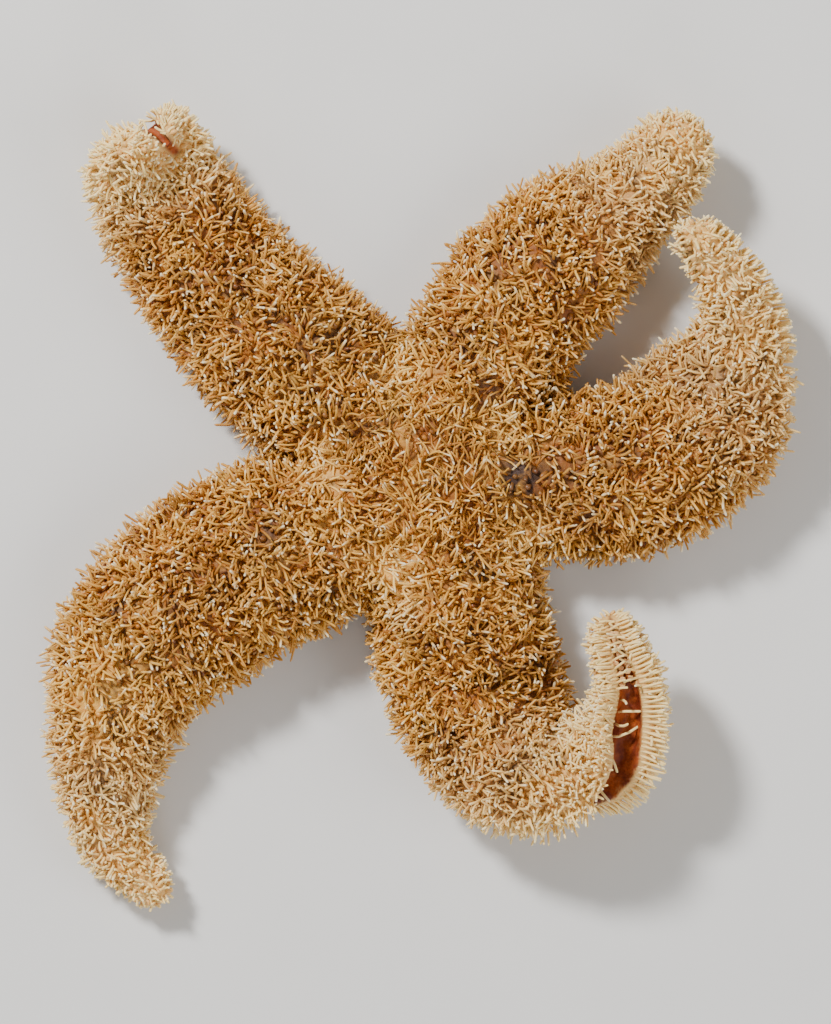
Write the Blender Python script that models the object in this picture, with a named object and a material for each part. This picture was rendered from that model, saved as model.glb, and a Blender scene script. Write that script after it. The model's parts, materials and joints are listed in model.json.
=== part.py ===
"""A preserved five-armed spiny starfish, life size, resting on its underside.

Every size below is in millimetres. The meshes are made in millimetres too, and each finished node is scaled
to metres at the end. +Z is up, the floor is z = 0, and the origin is the middle of the specimen's outline on
the floor. The upper side of the animal (its dorsal side) faces up, except where an arm twists or curls.
"""

import math
import random
from collections import namedtuple

import bmesh
import bpy
import numpy as np
from mathutils import Matrix, Vector
from mathutils.bvhtree import BVHTree

SEED = 11
TO_METRES = 0.001
GAP = 0.3  # between one node and the next

# Each arm runs from the middle of the disc to its tip. A station of the bare skin, without the spines, is
# (x, y, height of the section's middle, half width, half height, twist in degrees, openness of the groove).
ARM_STATIONS = {
    "arm_1": [  # upper right, nearly straight, its blunt tip a little off the floor
        (0.6, 2.2, 2.70, 4.40, 2.70, 0, 1),
        (2.9, 6.7, 2.60, 4.30, 2.60, 0, 1),
        (5.2, 11.0, 2.50, 4.05, 2.50, 0, 1),
        (8.2, 14.5, 2.50, 3.90, 2.50, 0, 1),
        (10.8, 16.5, 2.40, 2.90, 2.20, 0, 1),
        (13.0, 18.4, 2.90, 2.30, 1.75, 0, 1),
        (14.6, 20.2, 3.60, 2.00, 1.50, 0, 1),
        (15.7, 21.5, 4.00, 1.70, 1.30, 0, 1),
    ],
    "arm_2": [  # right, bent back on itself until its raised tip reaches arm_1
        (0.6, 2.2, 2.70, 4.40, 2.70, 0, 1),
        (5.8, 1.8, 2.60, 4.25, 2.60, 0, 1),
        (10.3, 1.6, 2.70, 4.30, 2.70, 0, 1),
        (14.2, 3.0, 2.90, 4.40, 2.90, -4, 1),
        (16.7, 5.6, 3.00, 4.15, 2.60, -18, 1),
        (18.0, 8.4, 3.70, 2.80, 2.00, -38, 1),
        (17.9, 11.0, 4.60, 1.90, 1.50, -50, 1),
        (17.0, 13.1, 5.50, 1.40, 1.20, -52, 1),
        (16.0, 14.7, 6.20, 1.15, 1.00, -48, 1),
        (15.2, 16.0, 6.70, 1.00, 0.80, -40, 1),
    ],
    "arm_3": [  # lower, its far half rolled over so that the groove faces up and outwards
        (0.6, 2.2, 2.70, 4.40, 2.70, 0, 1),
        (1.8, -3.3, 2.60, 4.50, 2.60, 0, 1),
        (2.4, -8.0, 2.70, 4.60, 2.70, 0, 1),
        (3.8, -11.7, 2.80, 4.50, 2.60, -12, 1),
        (5.4, -14.4, 3.40, 3.90, 2.80, -40, 1),
        (7.9, -15.4, 4.20, 3.20, 2.50, -72, 1.1),
        (10.2, -14.5, 4.90, 2.45, 2.20, -115, 1.5),
        (11.5, -12.5, 5.50, 1.85, 1.65, -145, 1.6),
        (11.8, -10.4, 6.00, 1.60, 1.40, -155, 1.3),
        (11.3, -8.5, 6.30, 1.35, 1.15, -155, 1),
        (10.8, -6.8, 6.40, 1.05, 0.90, -150, 1),
    ],
    "arm_4": [  # lower left, the longest, sweeping round to a thin tip
        (0.6, 2.2, 2.70, 4.40, 2.70, 0, 1),
        (-4.4, -1.0, 2.70, 4.60, 2.70, 0, 1),
        (-9.5, -3.2, 3.00, 4.80, 3.00, 0, 1),
        (-13.6, -5.7, 3.00, 4.80, 3.00, 0, 1),
        (-16.5, -9.2, 2.80, 4.20, 2.70, -8, 1),
        (-17.6, -12.8, 2.50, 3.20, 2.20, -14, 1),
        (-18.1, -16.0, 2.20, 2.50, 1.80, -16, 1),
        (-17.7, -19.4, 1.90, 1.70, 1.35, -10, 1),
        (-16.3, -21.4, 1.80, 1.15, 1.00, 0, 1),
        (-14.8, -22.4, 1.90, 0.85, 0.75, 0, 1),
    ],
    "arm_5": [  # upper left, its contracted tip curled up and back, so that the groove is a notch in its end
        (0.6, 2.2, 2.70, 4.40, 2.70, 0, 1),
        (-4.0, 5.3, 2.60, 4.70, 2.60, 0, 1),
        (-8.1, 9.1, 2.80, 4.50, 2.80, 0, 1),
        (-11.8, 12.9, 2.60, 4.00, 2.60, 0, 1),
        (-14.2, 16.5, 2.50, 3.60, 2.40, 0, 1.1),
        (-15.2, 18.5, 2.90, 3.25, 2.10, 6, 1.3),
        (-15.6, 19.9, 4.40, 3.00, 1.60, 14, 1.7),
        (-15.4, 20.6, 6.00, 2.70, 1.30, 20, 1.8),
        (-14.7, 20.3, 7.00, 2.10, 1.00, 20, 1.5),
    ],
}
CURLED_ARMS = {"arm_5"}  # whose tips turn back over themselves
# Where each arm is parted into lengths, as distances along its centreline, the first at the disc's edge
ARM_CUTS = {
    "arm_1": (9.6, 17.6),
    "arm_2": (11.6, 18.6, 24.8),
    "arm_3": (10.4, 15.6, 26.2),
    "arm_4": (10.6, 19.4, 28.2),
    "arm_5": (10.4, 19.6),
}
LENGTH_NAMES = {2: ("root", "tip"), 3: ("root", "middle", "tip")}

RING_PITCH = 2.1  # between the rings of a length
TIP_ROUNDING = 1.5  # of the tip's half width, over which the arm closes
TIP_RINGS = (0.45, 0.75, 0.93)  # of the rounding, where its rings are
SMALLEST_TIP = 0.42  # of the full section, at the plate that ends the arm

# The spines stand so close that their lower parts are one solid layer on the back and the sides
CORE_RISE = 0.42  # its height above the skin, less than half way to the spines' tips

# A section's outline by angle, from 0 at the top of the back to 180 in the middle of the underside
WIDEST_ANGLE = 90
RIDGE_ANGLE = 150
LIP_ANGLE = 165
WALL_ANGLE = 174
OUTLINE_ANGLES = (0, 27, 54, 80, 105, 129, RIDGE_ANGLE, LIP_ANGLE, WALL_ANGLE, 180)
WIDEST_HEIGHT = -0.15  # of the half height, where the arm is widest
GROOVE_SHARE, GROOVE_LEAST = 0.24, 0.15  # half width of the groove: a share of the arm's, and a constant
RIDGE_SHARE = 0.26  # width of the ridge beside the groove, of the arm's half width
GROOVE_DEPTH = 0.55  # of the half height
WALL_IN = 0.75  # the groove's width where its roof starts, of its width at the lips
SHOULDER = 0.7  # of the groove's depth, where its roof starts
NORMAL_STEP = 1.5  # degrees to either side, over which the outline's normal is read

DISC_MIDDLE = (0.6, 2.2)
DISC_RADIUS = 6.6
DISC_HEIGHT = 5.0
DISC_SUNK = 0.35  # how far the tubes that make the disc reach below the floor before they are cut off there
DISC_STEP = 0.04  # between one tube's bottom and the next, so that no two lie in one plane
TUBE_START, TUBE_RINGS = 0.4, 5
MOUTH_RADIUS, MOUTH_DEPTH = 1.9, 1.7
SLAB_SIZE, SLAB_DEPTH = 60, 10  # of what is cut away under the floor
MADREPORITE_MIDDLE = (-1.6, -3.6, 4.6)
MADREPORITE_RADIUS, MADREPORITE_THICKNESS = 1.15, 0.85
# Where a groove's cutter starts, how far past the disc it ends, and how far below the lips it reaches
GROOVE_START, GROOVE_BEYOND, GROOVE_BELOW = 0.8, 0.6, 1.0
CUTTER_RINGS = 5

SPINE_SIDES = 4
SPINE_RADIUS = 0.33  # of its corners, at the root
SPINE_TIP = 0.6  # of that radius, at the blunt tip
SPINE_LENGTH = 0.78  # outside the core
SPINE_VARIES = 0.16
SPINE_SUNK = 0.4
SPINE_SPACING = 1.33  # least distance between two roots
SPINE_LEAN, SPINE_SCATTER = 0.35, 0.3  # towards the arm's tip, and at random
BACK_SPINES_TO = 88  # degrees from the top of the back
TRIES_PER_MM = 60
DISC_TRIES = 2500
CAST_HEIGHT = 20  # from where the disc's back is looked at
# Rows along both sides of every arm, as (angle, pitch, length outside the solid)
EDGE_ROWS = ((104, 1.5, 0.8), (126, 1.5, 0.9), (156, 1.4, 1.1))
FOOT_PITCH = 1.5
FOOT_SIDES = 3
FOOT_RADIUS = 0.3
FOOT_ANGLE = 177
FOOT_LEAST_DEPTH = 0.75  # of a groove that has tube feet
FLOOR_CLEAR = 0.3  # of every spine and foot
ROOT_MARGIN, TIP_MARGIN = 0.5, 0.35  # of a spine from the planes where its node ends
ROW_MARGIN = 0.55  # of a row's first spine from where its node starts
ARM_MARGIN = 0.1  # of the last spines from the arm's tip
SHORTENINGS = (1.0, 0.8, 0.6)  # tried in turn where a spine would come too near another node
NEAR_SKIN = 0.25  # how far an arm's own outline may lie from the disc's skin where a row stands on the disc

SHARP_ANGLE = 40  # degrees between two faces, from where their edge is shown sharp
SKIN_COLOUR = (0.42, 0.24, 0.10, 1.0)
TIP_COLOUR = (0.72, 0.55, 0.34, 1.0)
MATERIALS = {
    "skin_tan": (SKIN_COLOUR, 0.62),
    "skin_cream": (TIP_COLOUR, 0.66),
}


def clear_scene():
    for obj in list(bpy.data.objects):
        bpy.data.objects.remove(obj)


def material(name):
    """The Principled material of that name, made once."""
    found = bpy.data.materials.get(name)
    if found:
        return found
    colour, roughness = MATERIALS[name]
    made = bpy.data.materials.new(name)
    made.use_nodes = True
    shader = made.node_tree.nodes["Principled BSDF"]
    shader.inputs["Base Color"].default_value = colour
    shader.inputs["Roughness"].default_value = roughness
    shader.inputs["Metallic"].default_value = 0.0
    return made


def smooth_samples(stations, per_span=16):
    """The stations joined by a Catmull-Rom curve, as an array with one row of station values per sample."""
    points = np.array(stations, float)
    before = 2 * points[0] - points[1]
    after = 2 * points[-1] - points[-2]
    points = np.vstack([before, points, after])
    rows = []
    for i in range(1, len(points) - 2):
        p0, p1, p2, p3 = points[i - 1 : i + 3]
        for t in np.arange(per_span) / per_span:
            rows.append(
                0.5 * (2 * p1 + (p2 - p0) * t + (2 * p0 - 5 * p1 + 4 * p2 - p3) * t**2)
                + 0.5 * (3 * p1 - p0 - 3 * p2 + p3) * t**3
            )
    rows.append(points[-2])
    return np.array(rows)


def unit(v):
    return v / np.linalg.norm(v)


class Arm:
    """An arm's centreline, frames and section sizes, read at a distance from the disc's middle."""

    def __init__(self, name):
        rows = smooth_samples(ARM_STATIONS[name])
        self.name = name
        self.points = rows[:, :3]
        steps = np.linalg.norm(np.diff(self.points, axis=0), axis=1)
        self.along = np.concatenate([[0], np.cumsum(steps)])
        self.length = self.along[-1]
        self.sizes = rows[:, [3, 4, 6]]
        self.tangents = np.array([unit(v) for v in np.gradient(self.points, self.along, axis=0)])
        self.ups = self.dorsal_directions(np.radians(rows[:, 5]))

    def dorsal_directions(self, twists):
        """Straight up, or in a curled arm carried along the curve without turning, then twisted."""
        straight_up = np.array([0.0, 0.0, 1.0])
        up = straight_up
        found = []
        for tangent, twist in zip(self.tangents, twists):
            start = up if self.name in CURLED_ARMS else straight_up
            up = unit(start - tangent * (start @ tangent))
            found.append(up * math.cos(twist) + np.cross(tangent, up) * math.sin(twist))
        return np.array(found)

    def read(self, table, s):
        return np.array([np.interp(s, self.along, column) for column in table.T])

    def frame(self, s):
        """(middle, tangent, side, up) at that distance."""
        middle, tangent = self.read(self.points, s), unit(self.read(self.tangents, s))
        up = self.read(self.ups, s)
        up = unit(up - tangent * (up @ tangent))
        return middle, tangent, np.cross(tangent, up), up

    def size(self, s):
        """(half width, half height, openness of the groove) at that distance, closing to a rounded tip."""
        width, height, openness = self.read(self.sizes, s)
        rounding = TIP_ROUNDING * self.sizes[-1][0]
        into = max(0.0, s - (self.length - rounding)) / rounding
        share = SMALLEST_TIP + (1 - SMALLEST_TIP) * math.sqrt(max(0.0, 1 - into**2))
        return width * share, height * share, openness

    def surface(self, s, angle):
        """(point, outward normal) at a distance along the arm and an angle round it, negative on the left."""
        middle, _, side, up = self.frame(s)
        size = self.size(s)
        across, above = outline(angle, *size)
        ahead = np.array(outline(abs(angle) + NORMAL_STEP, *size))
        behind = np.array(outline(max(0.0, abs(angle) - NORMAL_STEP), *size))
        run = unit(ahead - behind)
        sign = -1 if angle < 0 else 1
        point = middle + side * across * sign + up * above
        normal = side * -run[1] * sign + up * run[0]
        return lifted(point), normal


def lifted(point):
    """Nothing goes under the floor: what would is pressed flat on it."""
    return np.array([point[0], point[1], max(point[2], 0.0)])


def groove_sizes(width, height, openness):
    """(half width of the groove at its lips, outer edge of the ridge beside it, depth of the groove)."""
    lip = (GROOVE_SHARE * width + GROOVE_LEAST) * openness
    return lip, lip + RIDGE_SHARE * width, GROOVE_DEPTH * height * openness


def outline(angle, width, height, openness, grooved=True):
    """(across, above) of a section's outline at an angle from the top of its back, flat where not grooved."""
    lip, ridge, depth = groove_sizes(width, height, openness)
    widest = WIDEST_HEIGHT * height
    width, top = width + CORE_RISE, height + CORE_RISE
    angle = abs(angle)
    if angle <= WIDEST_ANGLE:
        turn = math.radians(angle)
        return width * math.sin(turn), widest + (top - widest) * math.cos(turn)
    if angle <= RIDGE_ANGLE:
        turn = math.radians((angle - WIDEST_ANGLE) / (RIDGE_ANGLE - WIDEST_ANGLE) * 90)
        return ridge + (width - ridge) * math.cos(turn), widest - (height + widest) * math.sin(turn)
    if not grooved:
        return ridge * (180 - angle) / (180 - RIDGE_ANGLE), -height
    if angle <= LIP_ANGLE:
        return ridge + (lip - ridge) * (angle - RIDGE_ANGLE) / (LIP_ANGLE - RIDGE_ANGLE), -height
    if angle <= WALL_ANGLE:
        share = (angle - LIP_ANGLE) / (WALL_ANGLE - LIP_ANGLE)
        return lip * (1 + (WALL_IN - 1) * share), -height + depth * SHOULDER * share
    share = min(1.0, (angle - WALL_ANGLE) / (180 - WALL_ANGLE))
    return lip * WALL_IN * (1 - share), -height + depth * (SHOULDER + (1 - SHOULDER) * share)


def ring(arm, s):
    """The section's outline in space, once round, pressed flat on the floor."""
    mirrored = [-a for a in reversed(OUTLINE_ANGLES) if 0 < a < 180]
    return [arm.surface(s, angle)[0] for angle in [*OUTLINE_ANGLES, *mirrored]]


def sunk_ring(arm, s, sunk):
    """The section's outline without its groove, once round, its flat bottom lowered."""
    angles = [a for a in OUTLINE_ANGLES if a <= LIP_ANGLE]
    mirrored = [-a for a in reversed(angles) if a > 0]
    middle, _, side, up = arm.frame(s)
    size = arm.size(s)
    points = []
    for angle in angles + mirrored:
        across, above = outline(angle, *size, grooved=False)
        point = middle + side * math.copysign(across, angle) + up * above
        point[2] -= sunk if abs(angle) >= RIDGE_ANGLE else 0.0
        points.append(point)
    return points


def lofted(name, rings):
    """A closed mesh object through the rings, with flat ends."""
    shape = bmesh.new()
    loops = [[shape.verts.new(p) for p in r] for r in rings]
    for a, b in zip(loops, loops[1:]):
        for i in range(len(a)):
            j = (i + 1) % len(a)
            shape.faces.new((a[i], a[j], b[j], b[i]))
    shape.faces.new(list(reversed(loops[0])))
    shape.faces.new(loops[-1])
    bmesh.ops.recalc_face_normals(shape, faces=shape.faces)
    return as_object(name, shape)


def as_object(name, shape):
    mesh = bpy.data.meshes.new(name)
    shape.to_mesh(mesh)
    shape.free()
    obj = bpy.data.objects.new(name, mesh)
    bpy.context.scene.collection.objects.link(obj)
    return obj


def ring_places(arm, start, end):
    """Distances of a length's rings. Near the tip they follow its rounding."""
    rounding = TIP_ROUNDING * arm.sizes[-1][0]
    straight_end = min(end, arm.length - rounding)
    count = max(1, round((straight_end - start) / RING_PITCH))
    places = list(np.linspace(start, straight_end, count + 1))
    if end >= arm.length:
        places += [arm.length - rounding * (1 - share) for share in TIP_RINGS] + [arm.length]
    return places


def arm_lengths(arm):
    """(node name, start, end) of each length of the arm outside the disc."""
    cuts = ARM_CUTS[arm.name]
    names = LENGTH_NAMES[len(cuts)]
    ends = [*cuts[1:], arm.length + GAP / 2]
    return [
        (f"{arm.name}_{part}", start + GAP / 2, end - GAP / 2)
        for part, start, end in zip(names, cuts, ends)
    ]


def joined(target, others, operation):
    """Applies one Boolean of a collection of closed meshes to the target, and removes the collection."""
    group = bpy.data.collections.new("pieces")
    for other in others:
        group.objects.link(other)
    modifier = target.modifiers.new("join", "BOOLEAN")
    modifier.operation = operation
    modifier.operand_type = "COLLECTION"
    modifier.collection = group
    modifier.solver = "MANIFOLD"
    bpy.context.view_layer.update()
    graph = bpy.context.evaluated_depsgraph_get()
    made = bpy.data.meshes.new_from_object(target.evaluated_get(graph))
    target.modifiers.clear()
    target.data = made
    for other in others:
        bpy.data.objects.remove(other)
    bpy.data.collections.remove(group)
    return target


def keep_largest(obj):
    """Drops every closed surface of the object but the one with the most faces."""
    shape = bmesh.new()
    shape.from_mesh(obj.data)
    unseen, islands = set(shape.verts), []
    while unseen:
        stack, island = [unseen.pop()], set()
        while stack:
            vertex = stack.pop()
            island.add(vertex)
            for edge in vertex.link_edges:
                other = edge.other_vert(vertex)
                if other in unseen:
                    unseen.discard(other)
                    stack.append(other)
        islands.append(island)
    islands.sort(key=len)
    for island in islands[:-1]:
        bmesh.ops.delete(shape, geom=list(island), context="VERTS")
    shape.to_mesh(obj.data)
    shape.free()


def disc_tubes(arms):
    """The stretch of each arm inside the disc, reaching a little below the floor."""
    tubes = []
    for i, arm in enumerate(arms):
        end = ARM_CUTS[arm.name][0] - GAP / 2
        sunk = DISC_SUNK + DISC_STEP * i
        places = np.linspace(TUBE_START, end, TUBE_RINGS)
        tubes.append(lofted("tube", [sunk_ring(arm, s, sunk) for s in places]))
    return tubes


def squashed_ball(name, middle, radii, segments, rings):
    shape = bmesh.new()
    bmesh.ops.create_uvsphere(shape, u_segments=segments, v_segments=rings, radius=1.0)
    bmesh.ops.scale(shape, vec=radii, verts=shape.verts)
    bmesh.ops.translate(shape, vec=middle, verts=shape.verts)
    return as_object(name, shape)


def below_floor():
    """A slab whose top is the floor."""
    shape = bmesh.new()
    bmesh.ops.create_cube(shape, size=1.0)
    bmesh.ops.scale(shape, vec=(SLAB_SIZE, SLAB_SIZE, SLAB_DEPTH), verts=shape.verts)
    bmesh.ops.translate(shape, vec=(0, 0, -SLAB_DEPTH / 2), verts=shape.verts)
    return as_object("slab", shape)


def groove_cutter(arm):
    """What is cut from the disc for an arm's groove."""
    rings = []
    for s in np.linspace(GROOVE_START, ARM_CUTS[arm.name][0] + GROOVE_BEYOND, CUTTER_RINGS):
        middle, _, side, up = arm.frame(s)
        size = arm.size(s)
        lip, _, depth = groove_sizes(*size)
        half = [(lip, -GROOVE_BELOW), (lip, 0.0), (lip * WALL_IN, depth * SHOULDER), (0.0, depth)]
        both = half + [(-across, above) for across, above in reversed(half[:-1])]
        floor = middle - up * size[1]
        rings.append([floor + side * across + up * above for across, above in both])
    return lofted("groove", rings)


def disc_body(arms):
    """The disc with the roots of the arms in it, the mouth, and the grooves that run to it."""
    x, y = DISC_MIDDLE
    dome = squashed_ball("dome", (x, y, 0.0), (DISC_RADIUS, DISC_RADIUS, DISC_HEIGHT + CORE_RISE), 20, 10)
    button_radii = (MADREPORITE_RADIUS, MADREPORITE_RADIUS, MADREPORITE_THICKNESS)
    button = squashed_ball("button", MADREPORITE_MIDDLE, button_radii, 10, 6)
    disc = joined(dome, disc_tubes(arms) + [button], "UNION")
    mouth = squashed_ball("mouth", (x, y, 0.0), (MOUTH_RADIUS, MOUTH_RADIUS, MOUTH_DEPTH), 12, 8)
    cutters = [below_floor(), mouth] + [groove_cutter(arm) for arm in arms]
    disc = joined(disc, cutters, "DIFFERENCE")
    keep_largest(disc)
    disc.name = "disc"
    return disc


Spine = namedtuple("Spine", "root tip radius sides")


def spine_object(spine):
    """A closed tapered prism from under the skin to the blunt tip."""
    along = unit(spine.tip - spine.root)
    first = unit(np.cross(along, (0.31, 0.57, 0.76)))
    second = np.cross(along, first)
    turns = [2 * math.pi * i / spine.sides for i in range(spine.sides)]
    ends = ((spine.root - along * SPINE_SUNK, spine.radius), (spine.tip, spine.radius * SPINE_TIP))
    rings = []
    for middle, radius in ends:
        rings.append([middle + (first * math.cos(t) + second * math.sin(t)) * radius for t in turns])
    return lofted("spine", rings)


class Planter:
    """Sets spines on the bodies, clear of each other's nodes and of the floor."""

    def __init__(self, bodies, arms):
        self.random = random.Random(SEED)
        self.trees = {name: skin_tree(body) for name, body in bodies.items()}
        self.planes = end_planes(arms)
        self.spines = {name: [] for name in bodies}

    def scattered(self, normal, tangent, scatter=SPINE_SCATTER):
        stray = np.array([self.random.uniform(-1, 1) for _ in range(3)])
        return unit(normal + tangent * SPINE_LEAN + stray * scatter)

    def length(self, mean):
        return mean * self.random.uniform(1 - SPINE_VARIES, 1 + SPINE_VARIES)

    def inside_ends(self, node, point, margin):
        return all((point - middle) @ inward >= margin for middle, inward in self.planes[node])

    def roots_apart(self, node, root, spacing):
        return all(np.linalg.norm(root - other.root) >= spacing for other in self.spines[node])

    def clear_of_others(self, node, spine):
        """Whether the spine keeps the gap from every other node's body and spines."""
        samples = [spine.root + (spine.tip - spine.root) * t for t in (0.25, 0.5, 0.75, 1.0)]
        for name, tree in self.trees.items():
            if name == node:
                continue
            if any(tree.find_nearest(Vector(p), GAP + spine.radius)[0] is not None for p in samples):
                return False
            for other in self.spines[name]:
                if np.linalg.norm(other.root - spine.root) > 5 * SPINE_LENGTH:
                    continue
                others = [other.root + (other.tip - other.root) * t for t in (0.25, 0.5, 0.75, 1.0)]
                nearest = min(np.linalg.norm(p - q) for p in samples for q in others)
                if nearest < GAP + 2 * SPINE_RADIUS:
                    return False
        return True

    def plant(self, node, root, direction, length, spacing, radius=SPINE_RADIUS, sides=SPINE_SIDES):
        """Adds a spine to the node if there is room for it."""
        if root[2] < FLOOR_CLEAR + radius or not self.inside_ends(node, root, ROOT_MARGIN):
            return
        if not self.roots_apart(node, root, spacing):
            return
        for share in SHORTENINGS:
            tip = root + direction * length * share
            tip[2] = max(tip[2], FLOOR_CLEAR + radius * SPINE_TIP)
            spine = Spine(root, tip, radius, sides)
            if self.inside_ends(node, tip, TIP_MARGIN) and self.clear_of_others(node, spine):
                self.spines[node].append(spine)
                return


def skin_tree(body):
    shape = bmesh.new()
    shape.from_mesh(body.data)
    tree = BVHTree.FromBMesh(shape)
    shape.free()
    return tree


def end_planes(arms):
    """For each node, (a point, the inward direction) of each plane where it ends."""
    planes = {"disc": []}
    for arm in arms:
        middle, tangent, _, _ = arm.frame(ARM_CUTS[arm.name][0] - GAP / 2)
        planes["disc"].append((middle, -tangent))
        for name, start, end in arm_lengths(arm):
            middle, tangent, _, _ = arm.frame(start)
            planes[name] = [(middle, tangent)]
            if end < arm.length:
                middle, tangent, _, _ = arm.frame(end)
                planes[name].append((middle, -tangent))
    return planes


def plant_back(planter, arm):
    """Spines scattered over the back of an arm's lengths."""
    for node, start, end in arm_lengths(arm):
        for _ in range(round((end - start) * TRIES_PER_MM)):
            s = planter.random.uniform(start, min(end, arm.length - ARM_MARGIN))
            angle = planter.random.uniform(-BACK_SPINES_TO, BACK_SPINES_TO)
            root, normal = arm.surface(s, angle)
            _, tangent, _, _ = arm.frame(s)
            direction = planter.scattered(normal, tangent)
            planter.plant(node, root, direction, planter.length(SPINE_LENGTH), SPINE_SPACING)


def plant_disc(planter):
    """Spines scattered over the back of the disc, found by looking straight down on it."""
    x, y = DISC_MIDDLE
    reach = max(cuts[0] for cuts in ARM_CUTS.values()) + DISC_RADIUS / 2
    tree = planter.trees["disc"]
    for _ in range(DISC_TRIES):
        right, ahead = planter.random.uniform(-reach, reach), planter.random.uniform(-reach, reach)
        place = Vector((x + right, y + ahead, CAST_HEIGHT))
        hit, normal, _, _ = tree.ray_cast(place, Vector((0, 0, -1)))
        if hit is None or normal.z < 0:
            continue
        outward = unit(np.array([hit.x - x, hit.y - y, 0.01]))
        direction = planter.scattered(np.array(normal), outward)
        planter.plant("disc", np.array(hit), direction, planter.length(SPINE_LENGTH), SPINE_SPACING)


def plant_edges(planter, arm):
    """The rows of longer spines along an arm's sides, and beside the groove where the arm is rolled over."""
    nodes = [("disc", DISC_RADIUS, ARM_CUTS[arm.name][0] - GAP / 2), *arm_lengths(arm)]
    for angle, pitch, mean in EDGE_ROWS:
        for side in (-1, 1):
            for node, start, end in nodes:
                for s in np.arange(start + ROW_MARGIN, min(end, arm.length) - ARM_MARGIN, pitch):
                    root, normal = arm.surface(s, side * angle)
                    if planter.trees[node].find_nearest(Vector(root), NEAR_SKIN)[0] is None:
                        continue
                    _, tangent, _, _ = arm.frame(s)
                    direction = planter.scattered(normal, tangent, SPINE_SCATTER / 2)
                    planter.plant(node, root, direction, planter.length(mean), SPINE_SPACING * 0.8)


def plant_feet(planter, arm):
    """Two rows of tube feet in the groove, as far out as it is deep enough."""
    nodes = [("disc", DISC_RADIUS / 2, ARM_CUTS[arm.name][0] - GAP / 2), *arm_lengths(arm)]
    for node, start, end in nodes:
        for s in np.arange(start + ROW_MARGIN, min(end, arm.length), FOOT_PITCH):
            _, _, depth = groove_sizes(*arm.size(s))
            if depth < FOOT_LEAST_DEPTH:
                continue
            _, _, _, up = arm.frame(s)
            for side in (-1, 1):
                root, _ = arm.surface(s, side * FOOT_ANGLE)
                length = depth * planter.random.uniform(0.75, 0.95)
                planter.plant(node, root, -up, length, FOOT_RADIUS * 2, FOOT_RADIUS, FOOT_SIDES)


def plant_all(bodies, arms):
    planter = Planter(bodies, arms)
    for arm in arms:
        plant_edges(planter, arm)
        plant_feet(planter, arm)
    for arm in arms:
        plant_back(planter, arm)
    plant_disc(planter)
    return planter.spines


def finish(obj, material_name):
    """Scales a node to metres, shades it and gives it its material."""
    obj.data.transform(Matrix.Scale(TO_METRES, 4))
    obj.data.shade_smooth()
    obj.data.set_sharp_from_angle(angle=math.radians(SHARP_ANGLE))
    obj.data.materials.clear()
    obj.data.materials.append(material(material_name))


def main():
    clear_scene()
    arms = [Arm(name) for name in ARM_STATIONS]
    disc = disc_body(arms)
    bodies = {"disc": disc}
    for arm in arms:
        for name, start, end in arm_lengths(arm):
            bodies[name] = lofted(name, [ring(arm, s) for s in ring_places(arm, start, end)])
    spines = plant_all(bodies, arms)
    for name, body in bodies.items():
        joined(body, [spine_object(spine) for spine in spines[name]], "UNION")
        keep_largest(body)
        finish(body, "skin_cream" if name.endswith("tip") else "skin_tan")


main()
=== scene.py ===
"""The looks of the preserved starfish: its skin, spines, sacs and tube feet, a floor, light and a camera.

Sizes are in millimetres, as in the part's source, and finished meshes are scaled to metres. The outline of
the arms is that of the solids, and so are their stations, but for small changes near the tips.
"""

import json
import math

import bmesh
import bpy
import numpy as np
from mathutils import Matrix, Vector, noise
from mathutils.bvhtree import BVHTree
from mathutils.kdtree import KDTree

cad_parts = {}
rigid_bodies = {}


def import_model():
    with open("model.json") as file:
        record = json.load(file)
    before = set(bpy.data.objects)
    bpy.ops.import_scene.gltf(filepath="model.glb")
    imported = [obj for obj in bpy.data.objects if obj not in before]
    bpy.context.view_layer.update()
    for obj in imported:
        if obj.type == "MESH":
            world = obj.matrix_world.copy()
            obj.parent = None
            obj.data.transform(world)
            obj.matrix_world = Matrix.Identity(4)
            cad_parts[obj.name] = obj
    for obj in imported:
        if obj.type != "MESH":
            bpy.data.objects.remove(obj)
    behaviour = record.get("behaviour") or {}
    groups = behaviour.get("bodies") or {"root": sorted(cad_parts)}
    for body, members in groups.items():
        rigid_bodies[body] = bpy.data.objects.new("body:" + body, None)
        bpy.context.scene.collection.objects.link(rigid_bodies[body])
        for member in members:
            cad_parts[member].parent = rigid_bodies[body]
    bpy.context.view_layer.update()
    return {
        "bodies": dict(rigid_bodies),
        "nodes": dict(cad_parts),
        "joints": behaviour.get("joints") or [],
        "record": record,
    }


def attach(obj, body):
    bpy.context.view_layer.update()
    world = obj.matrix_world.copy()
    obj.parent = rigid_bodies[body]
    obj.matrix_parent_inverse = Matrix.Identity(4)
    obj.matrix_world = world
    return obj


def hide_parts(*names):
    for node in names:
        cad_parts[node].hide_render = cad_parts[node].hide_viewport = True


SEED = 5
TO_METRES = 0.001

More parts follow.
